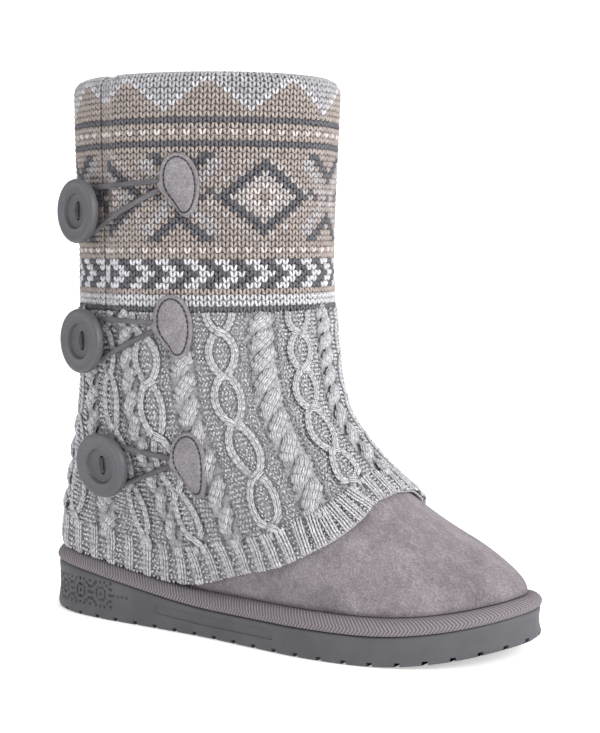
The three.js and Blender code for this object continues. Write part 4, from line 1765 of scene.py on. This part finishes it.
            # Painted shade: stitches darker where the strand dives under the other and, in plaits, on its
            # outer columns.
            depth = smooth(-1.9, 0.2, lift(run))[good, None] * (1 - 0.4 * k * k * (columns > 2))
            stitches.lay(build, middle[good], wide[good] * (width / columns), tall[good], out[good],
                         self.yarn * (0.5 + 0.5 * depth), 0.06)

    def build(self) -> None:
        """Makes the cables, the ribs and the purl ground."""
        run = self.courses()
        stitches = Stitches(self.leg, 5)
        plaits = Build("plaits")
        for plait in self.plaits:
            for k in range(2):
                def turn(s: Array, k: int = k, p: Plait = plait) -> Array:
                    """Angle of a strand round its cable."""
                    return TURN * ((p.phase - self.down(s)) / p.full + k / 2)

                self._strand(
                    plaits, stitches, plait.around, run,
                    lambda s, turn=turn, p=plait: p.reach * np.sin(turn(s)) * smooth(6, 22, s),
                    lambda s, turn=turn: self.plait_off + self.plait_swing * np.cos(turn(s)),
                    plait.strand, plait.columns, 0.75,
                    lambda s, turn=turn: np.cos(turn(s)) > self.plait_hidden)
        plaits.finish("knit_sleeve", Finish.YARN)
        chains = Build("oval_chains")
        for chain in self.chains:
            self._chain(chains, stitches, chain, run)
        chains.finish("knit_sleeve", Finish.YARN)
        self._ribs()
        self._ground()
        self._purl()

    def _chain(self, build: Build, stitches: Stitches, chain: Chain, run: Array) -> None:
        """Lays the two crossing ribs of a chain.

        Args:
            build: the piece that takes it.
            stitches: the Stitches that lay them.
            chain: the chain.
            run: distances of the rows over the hem.
        """

        def across(s: Array) -> Array:
            """Sideways place of the leading rib."""
            free = smooth(self.rib_height, self.rib_height + 9, s)
            return chain.reach * mix(0.45, chain.apart(self.down(s)), free)

        for k in (-1, 1):
            self._strand(
                build, stitches, chain.around, run,
                lambda s, k=k: k * across(s),
                lambda s, k=k: 0.3 + (0.7 if k > 0 else -0.7) * (1 - np.abs(across(s)) / chain.reach) ** 1.5,
                chain.strand, 2, 0.35, lambda s: s > 0)

    def rib_places(self) -> Array:
        """Places of the hem's ribs on its edge."""
        return self.first_rib + np.arange(self.ribs) / self.ribs

    def skew(self, around: Values) -> Array:
        """Share of the way round that a line square to the hem gains over the panel's height."""
        across, rise, _ = self.cloth.axes(around, np.full(np.shape(around), 0.04))
        return -(across * rise).sum(-1) / (across * across).sum(-1)

    def _ribs(self) -> None:
        """Lays the ribs of the hem."""
        stitches = Stitches(Leg(foot=0.15, head=0.3, low=-0.7, high=0.7, thick=0.2, tall=0.6, arch=0.22), 6)
        build = Build("hem_ribs")
        rows = self.rib_rows
        run = (np.arange(rows) + 0.4) * (self.rib_height + 2.5) / rows
        for foot in self.rib_places():
            place = foot + self.skew(np.full_like(run, foot)) * run / self.size
            for side in (-1, 1):
                across, _, normal = self.cloth.axes(place, run / self.size)
                girth = np.linalg.norm(across, axis=-1)
                lane = place + side * self.column * 0.46 / girth
                centre = self.cloth.at(lane, run / self.size, 0.5 - 0.5 * (1 - smooth(0, 5, run)))
                turn = 0.35 * side
                level = across / girth[:, None]
                out = normal * math.cos(turn) + level * math.sin(turn)
                wide = (level * math.cos(turn) - normal * math.sin(turn)) * self.column
                tall = unit(np.gradient(centre, axis=0)) * (run[1] - run[0])
                stitches.lay(build, centre, wide, tall, out, np.broadcast_to(self.yarn, (rows, 3)), 0.08)
        build.finish("knit_sleeve", Finish.YARN)

    def _near(self, around: Array, run: Array, place: float) -> Array:
        """Sideways distance in millimetres from a column.

        Args:
            around: shares of the way round.
            run: distances over the hem.
            place: the column's place at the top.

        Returns:
            The distances, by side.
        """
        lane = self.lean(np.full_like(run, place), run)
        girth = np.linalg.norm(self.cloth.axes(around, run / self.size)[0], axis=-1)
        return ((around - lane + 0.5) % 1 - 0.5) * girth

    def _cover(self, around: Array, run: Array) -> tuple[Array, Array, Array]:
        """Swelling of the ground inside the ovals, where strands hide it, and the painted shadow they cast on
        it.

        Args:
            around: shares of the way round.
            run: distances over the hem.

        Returns:
            Swelling from 0 to 1, whether it is hidden, and painted shadow.
        """
        swell, hidden, painted_shade = np.zeros(around.shape), np.zeros(around.shape, bool), np.ones(around.shape)

        def shadow(gap: Array) -> Array:
            """Shade beside a strand, by the distance from its edge."""
            return 1 - self.shadow_depth * np.exp(-((np.maximum(gap, 0) / self.shadow_width) ** 2)) * high

        high = run > self.rib_height - 1
        for plait in self.plaits:
            near = self._near(around, run, plait.around)
            hidden |= high & (np.abs(near) < plait.half - 1.2)
            painted_shade = np.minimum(painted_shade, shadow(np.abs(near) - plait.half + 0.6))
        for chain in self.chains:
            near = np.abs(self._near(around, run, chain.around))
            apart = np.abs(chain.apart(self.down(run))) * chain.reach
            hidden |= high & (np.abs(near - apart) < 1.5)
            painted_shade = np.minimum(painted_shade, shadow(np.abs(near - apart) - 1.7))
            inside = np.clip(1 - (near / (apart + 0.01)) ** 2, 0, 1)
            swell = np.maximum(swell, inside * smooth(14, 20, run))
        low = run < self.rib_height + 1
        girth = np.linalg.norm(self.cloth.axes(around, run / self.size)[0], axis=-1)
        foot = around - self.skew(around) * run / self.size
        gap = np.abs((foot[..., None] - self.rib_places() + 0.5) % 1 - 0.5).min(-1) * girth
        hidden |= low & (gap < self.column * 0.8)
        return swell, hidden, painted_shade

    def _ground(self) -> None:
        """Sheet behind the cables, darkened as painted shade, with the hem's turned edge."""
        rows, columns = self.sheet_grid
        r, c = np.meshgrid(np.linspace(0, 1, rows), np.arange(columns), indexing="ij")
        around = c / columns
        swell, _, _ = self._cover(around, r * self.size)
        points = self.cloth.at(around, r, self.sheet_off + self.swell_height * swell)
        low = LAST.layer(around[0], LAST.hem(around[0]), np.full(columns, 1.1))
        inner = LAST.layer(around[0], LAST.hem(around[0]) + 5, np.full(columns, 0.7))
        points = np.concatenate([[inner], [low], points])
        build = Build("purl_sheet")
        # Panel yarn darkened as painted shade for what shows between the stitches.
        build.add(points, grid_faces(len(points), columns), colour=self.yarn * PAINTED_SHADE_UNDER)
        build.finish("knit_sleeve", Finish.YARN)

    def _purl(self) -> None:
        """Purl bumps between the cables, in two pieces."""
        bump = Leg.bump()
        rows, columns = self.bump_grid
        r, c = np.meshgrid(np.arange(rows), np.arange(columns), indexing="ij")
        chance = np.random.default_rng(9)
        around = (c + 0.5 * (r % 2) + chance.normal(0, 0.14, c.shape)) / columns
        run = (r + 0.5 + chance.normal(0, 0.2, c.shape)) * self.size / rows
        swell, hidden, painted_shade = self._cover(around % 1, run)
        for name, half in (("purl_outer", (around % 1) < 0.5), ("purl_inner", (around % 1) >= 0.5)):
            pick = half & ~hidden
            a, s = around[pick], run[pick]
            across, rise, normal = self.cloth.axes(a, s / self.size)
            build = Build(name)
            # Bump colours carry the strands' painted shadow.
            Stitches(bump, 21).lay_bumps(
                build, self.cloth.at(a, s / self.size, self.bump_off + self.swell_height * swell[pick]),
                across / columns,
                unit(rise) * (self.size / rows), normal, r[pick] % 2 * 2 - 1,
                self.yarn * self.bump_gain * painted_shade[pick][:, None], 0.13)
            build.finish("knit_sleeve", Finish.YARN)


def near_spot(around: float, rise: float, across: Values, up: Values) -> tuple[Values, Values]:
    """Places that lie a number of millimetres across and up from a place on the knit.

    Args:
        around: the place's share of the way round.
        rise: its height over the platform.
        across: millimetres across.
        up: millimetres up.

    Returns:
        Shares of the way round and heights over the platform.
    """
    step, tall = 0.5 * LAST.step, 2.0
    out = LAST.normal(around, rise)
    top = unit(np.array([0, 0, 1.0]) - out * out[2])
    side = np.cross(top, out)

    def change(a: tuple, b: tuple) -> tuple[float, float]:
        """Move across and up from one place to another."""
        moved = LAST.knit(*a) - LAST.knit(*b)
        return float(moved @ side), float(moved @ top)

    ax, ay = change((around + step, rise), (around - step, rise))
    rx, ry = change((around, rise + tall), (around, rise - tall))
    area = ax * ry - ay * rx
    turn = (across * ry - up * rx) / area
    climb = (up * ax - across * ay) / area
    return around + 2 * step * turn, rise + 2 * tall * climb


@dataclass
class Fastening:
    """Button with its thread, a suede tab and the cord loop between them."""

    name: str
    button_at: tuple
    turn: float
    level: float
    tab_at: tuple
    standoff: float = 6.2
    floor: float = 2.4
    button_sides: int = 96
    hole_radius: float = 1.3
    hole_sides: int = 24
    hole_spacing: float = 7
    thread_radius: float = 0.55
    cord_radius: float = 1.3
    loop_reach: float = 7.5
    loop_spread: float = 11.5
    cord_split: float = 3.6
    tab_size: tuple = (18.5, 31)
    tab_sides: int = 80
    tab_stitches: int = 30
    tab_seam: tuple = (1.92, 1.62)
    tab_profile: tuple = (
        (7, 0), (0.6, 0), (0, 0.3), (0, 1.3), (0.25, 1.75), (0.7, 1.95), (1.5, 1.95), (1.75, 1.6),
        (2.1, 1.55), (2.35, 1.9), (2.7, 2.5), (3.4, 2.75), (5, 2.85), (7, 2.9), (9.1, 2.9),
    )
    tab_nib: float = 2.4
    tab_tilt: float = 0.2
    trim_gap: float = 0.5
    profile: tuple = (
        (0.02, 0), (12.6, 0), (14.6, 0.4), (15.6, 1.1), (16, 2.2), (15.95, 3.5), (15.6, 4.4), (14.9, 4.9),
        (14.1, 5), (13.4, 4.85), (12.9, 4.7), (12.4, 4.62), (10.4, 4.62), (9.9, 4.7), (9.5, 4.82),
        (9.1, 4.75), (8.75, 4.4), (8.5, 3.6), (8.2, 2.95), (7.6, 2.6), (6.6, 2.45), (4.5, 2.4), (0.02, 2.4),
    )

    def _spots(self) -> tuple:
        """Places of button and tab, as share of the way round and height over the platform."""
        return tuple((a, up * LAST.collar_rise) for a, up in (self.button_at, self.tab_at))

    def _frame(self) -> tuple[Array, Array]:
        """Origin and axes in which the button hangs: across, up and out.

        Returns:
            The origin and the three axes.
        """
        around, rise = self._spots()[0]
        out = LAST.normal(around, rise) * (1, 1, 1 - self.level)
        out = unit(out)
        c, s = math.cos(self.turn), math.sin(self.turn)
        out = np.array([c * out[0] - s * out[1], s * out[0] + c * out[1], out[2]])
        up = unit(np.array([0, 0, 1.0]) - out * out[2])
        return LAST.knit(around, rise), np.stack([np.cross(up, out), up, out])

    def build(self) -> None:
        """Makes the four pieces."""
        self._button()
        self._thread()
        self._tab()
        self._loop()

    def _button(self) -> None:
        """Turned disc with a dish and two holes cut through it."""
        origin, axes = self._frame()
        sides = self.button_sides
        angle = TURN * np.arange(sides) / sides
        radius, height = np.array(self.profile).T
        rings = np.stack([radius[:, None] * np.cos(angle), radius[:, None] * np.sin(angle),
                          np.repeat(height[:, None], sides, 1) + self.standoff], -1)
        build = Build(f"resin_button_{self.name}")
        build.add(rings @ axes + origin, grid_faces(len(radius), sides))
        build.lids(len(radius), sides)
        piece = build.finish(f"button_{self.name}", Finish.BUTTON)
        cutters = Build("cutters")
        sides = self.hole_sides
        t = TURN * np.arange(sides) / sides
        disc = self.hole_radius * np.stack([np.cos(t), np.sin(t)], -1)
        for side in (-1, 1):
            hole = disc + (0, side * self.hole_spacing / 2)
            ends = [np.column_stack([hole, np.full(sides, self.standoff + z)]) for z in (-2, 7)]
            cutters.add(np.array(ends) @ axes + origin, grid_faces(2, sides))
            cutters.lids(2, sides)
        tool = cutters.finish(None, Finish.BUTTON)
        cut = piece.modifiers.new("holes", "BOOLEAN")
        cut.operation, cut.object, cut.solver = "DIFFERENCE", tool, "EXACT"
        made = bpy.data.meshes.new_from_object(piece.evaluated_get(bpy.context.evaluated_depsgraph_get()))
        piece.modifiers.clear()
        piece.data = made
        bpy.data.objects.remove(tool)
        made.polygons.foreach_set("use_smooth", np.ones(len(made.polygons), bool))
        made.set_sharp_from_angle(angle=math.radians(32))

    def _thread(self) -> None:
        """Two turns of thread through the holes, down into the knit."""
        origin, axes = self._frame()
        side = self.hole_spacing / 2
        floor = self.standoff + self.floor
        top = floor + 0.75
        build = Build(f"sewn_thread_{self.name}")
        for shift in (-0.55, 0.55):
            path = np.array([
                (shift, side, 0.2), (shift, side, self.standoff), (shift, side, floor - 1.2),
                (shift * 1.1, side - 0.4, top - 0.3), (shift * 1.3, side - 2.2, top),
                (shift * 1.3, 0, top + 0.25), (shift * 1.3, 2.2 - side, top),
                (shift * 1.1, 0.4 - side, top - 0.3), (shift, -side, floor - 1.2),
                (shift, -side, self.standoff), (shift, -side, 0.2),
            ])
            build.tube(open_curve(path, 6) @ axes + origin, self.thread_radius, 10)
        build.finish(f"button_thread_{self.name}", Finish.THREAD)

    def _edge(self, share: Array, scale: float) -> tuple[Array, Array]:
        """Places on the tab's outline, shrunk by a scale, in millimetres across and up.

        Args:
            share: shares of the way round the tab.
            scale: size against the tab's own.

        Returns:
            Millimetres across and up.
        """
        angle = TURN * share
        up = np.sin(angle)
        nib = self.tab_nib * np.exp(-(((angle - np.pi) / 0.2) ** 2)) * smooth(0.75, 1, scale)
        x = ((self.tab_size[0] / 2) * np.cos(angle) * (1 + 0.16 * up)) * scale - nib
        x = x + 1.7 * np.exp(-(((angle - 1.22 * np.pi) / 0.42) ** 2)) * scale
        y = (self.tab_size[1] / 2) * up * scale
        tilt = self.tab_tilt * (1 - nib / self.tab_nib)
        return x * np.cos(tilt) - y * np.sin(tilt), x * np.sin(tilt) + y * np.cos(tilt)

    def _inset(self, share: Array, inset: float) -> tuple[Array, Array]:
        """Tab outline moved in by a number of millimetres.

        Args:
            share: shares of the way round the tab.
            inset: distance from its edge.

        Returns:
            Millimetres across and up.
        """
        scale = 1 - inset / (self.tab_size[0] / 2)
        tall = 1 - inset / (self.tab_size[1] / 2)
        x, y = self._edge(share, scale)
        return x, y * mix(1, tall / scale, np.abs(np.sin(TURN * share)))

    def _tab(self) -> None:
        """Two layers of suede with a let-in line of stitches."""
        spot = self._spots()[1]
        sides = self.tab_sides
        share = np.arange(sides) / sides
        rings = np.array([LAST.knit(*near_spot(*spot, *self._inset(share, inset)), self.trim_gap + lift)
                          for inset, lift in self.tab_profile])
        build = Build(f"suede_tab_{self.name}")
        build.add(rings, grid_faces(len(rings), sides))
        build.lids(len(rings), sides)
        arch = np.array([-0.25, 0.18, 0.28, 0.18, -0.25])
        for k in range(self.tab_stitches):
            part = (k + np.linspace(0.12, 0.82, len(arch))) / self.tab_stitches
            inset, lift = self.tab_seam
            path = LAST.knit(*near_spot(*spot, *self._inset(part, inset)), self.trim_gap + lift + arch)
            build.tube(path, 0.3, 7, 1)
        build.finish(f"tab_{self.name}", Finish.TAB, Finish.STITCH)

    def _loop(self) -> None:
        """Elastic cord from the tab's nib round behind the button and back."""
        button, tab = self._spots()
        lift = self.trim_gap + self.cord_radius
        half = self.tab_size[0] / 2

        def turn(angle: float) -> tuple[Values, Values]:
            """Place of the cord at an angle round the button's thread."""
            return near_spot(*button, self.loop_reach * math.cos(angle), self.loop_spread * math.sin(angle))

        def strand(side: int) -> list[tuple]:
            """Places of one strand from the tab to the button."""
            near = near_spot(*tab, -half - self.tab_nib + 2.2, side * self.cord_split / 2)
            far = turn(side * math.pi / 2.4)
            return [tuple(mix(np.array(near), np.array(far), t)) for t in (0, 0.12, 0.38, 0.7, 1)]

        behind = [turn(share * math.pi) for share in (0.6, 0.8, 1, 1.2, 1.4)]
        route = np.array(strand(1) + behind + strand(-1)[::-1])
        lifts = np.full(len(route), lift)
        lifts[[0, -1]] = 0.5
        points = LAST.knit(route[:, 0], route[:, 1], lifts)
        build = Build(f"cord_loop_{self.name}")
        build.tube(open_curve(points, 12), self.cord_radius, 14)
        build.finish(f"loop_{self.name}", Finish.CORD)


@dataclass
class Studio:
    """Pale floor, soft lights and the camera at the photo's angle."""

    eye: tuple = (0.47263, -0.65590, 0.19402)
    heading: float = 29.862
    tilt: float = 0.893
    lens: float = 58.66
    zoom: float = 1.3
    centre: tuple = (247.5, 484.0)
    frame_size: tuple = (600, 733)
    world: float = 0.6
    lights: tuple = (
        ("key", (2.0, -0.4, 0.95), 1.1, 45, (1.0, 0.985, 0.97)),
        ("fill", (-1.3, -1.7, 0.8), 1.6, 14, (0.97, 0.98, 1.0)),
        ("top", (0.0, 0.3, 2.2), 1.6, 12, (1, 1, 1)),
    )

    def build(self) -> None:
        """Makes floor, backdrop, world, lights and camera."""
        self._sheet("floor", [(-6, -6, 0), (6, -6, 0), (6, 6, 0), (-6, 6, 0)], 0.93, 0.42)
        self._sheet("backdrop", [(-6, 5.5, -0.1), (6, 5.5, -0.1), (6, 5.5, 7), (-6, 5.5, 7)], 0.9, 0.55)
        self._world()
        for light in self.lights:
            self._light(*light)
        self._camera()

    @staticmethod
    def _sheet(name: str, corners: list[tuple], tone: float, glow: float) -> None:
        """White sheet, wide enough to fill its part of the picture.

        Args:
            name: its name.
            corners: its four corners in metres.
            tone: grey from 0 to 1.
            glow: strength of its own light.
        """
        mesh = bpy.data.meshes.new(name)
        mesh.from_pydata(corners, [], [(0, 1, 2, 3)])
        sheet = bpy.data.objects.new(name, mesh)
        bpy.context.collection.objects.link(sheet)
        g = Graph(name, 0.95, 0.0)
        g.colour((tone, tone, tone))
        g.set(g.shader, "Emission Color", (1.0, 1.0, 1.0))
        g.set(g.shader, "Emission Strength", glow)
        mesh.materials.append(g.material)

    def _world(self) -> None:
        """Even white light from all round."""
        world = bpy.data.worlds.new("studio")
        world.use_nodes = True
        background = world.node_tree.nodes["Background"]
        background.inputs["Color"].default_value = (1, 1, 1, 1)
        background.inputs["Strength"].default_value = self.world
        bpy.context.scene.world = world
        bpy.context.scene.view_settings.view_transform = "Standard"

    @staticmethod
    def _light(name: str, place: tuple, size: float, power: float, tone: tuple) -> None:
        """One soft square light turned to the boot.

        Args:
            name: its name.
            place: its place in metres.
            size: its width in metres.
            power: its power in watts.
            tone: its colour.
        """
        data = bpy.data.lights.new(name, "AREA")
        data.size, data.energy, data.color = size, power, tone
        light = bpy.data.objects.new(name, data)
        light.location = place
        aim = np.array([0.03, 0, 0.12]) - np.array(place)
        light.rotation_euler = Vector(aim).to_track_quat("-Z", "Y").to_euler()
        bpy.context.collection.objects.link(light)

    def _camera(self) -> None:
        """Camera fitted to the photo."""
        a, t = math.radians(self.heading), math.radians(self.tilt)
        back = Vector((math.sin(a), -math.cos(a), 0))
        forward = -back * math.cos(t) + Vector((0, 0, math.sin(t)))
        right = Vector((math.cos(a), math.sin(a), 0))
        up = right.cross(forward)
        data = bpy.data.cameras.new("camera")
        data.sensor_width, data.lens = 36, self.lens * self.zoom
        wide, tall = self.frame_size
        data.shift_x = (self.centre[0] - wide / 2) * self.zoom / tall
        data.shift_y = -(self.centre[1] - tall / 2) * self.zoom / tall
        camera = bpy.data.objects.new("camera", data)
        turn = Matrix((right, up, -forward)).transposed()
        camera.matrix_world = Matrix.Translation(self.eye) @ turn.to_4x4()
        bpy.context.collection.objects.link(camera)
        bpy.context.scene.camera = camera


def main() -> None:
    """Builds the boot and its studio."""
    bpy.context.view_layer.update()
    Outsole().build()
    PlatformWrap().build()
    Upper().build()
    Insole().build()
    PatternBand().build()
    CablePanel().build()
    for name, button, turn, level, tab in (
        ("top", (0.172, 0.744), 0.12, 0.5, (0.315, 0.795)),
        ("middle", (0.172, 0.473), 0.15, 0.5, (0.303, 0.506)),
        ("bottom", (0.178, 0.221), 0.16, 0.6, (0.289, 0.232)),
    ):
        Fastening(name, button, turn, level, tab).build()
    Studio().build()


if __name__ == "__main__":
    main()
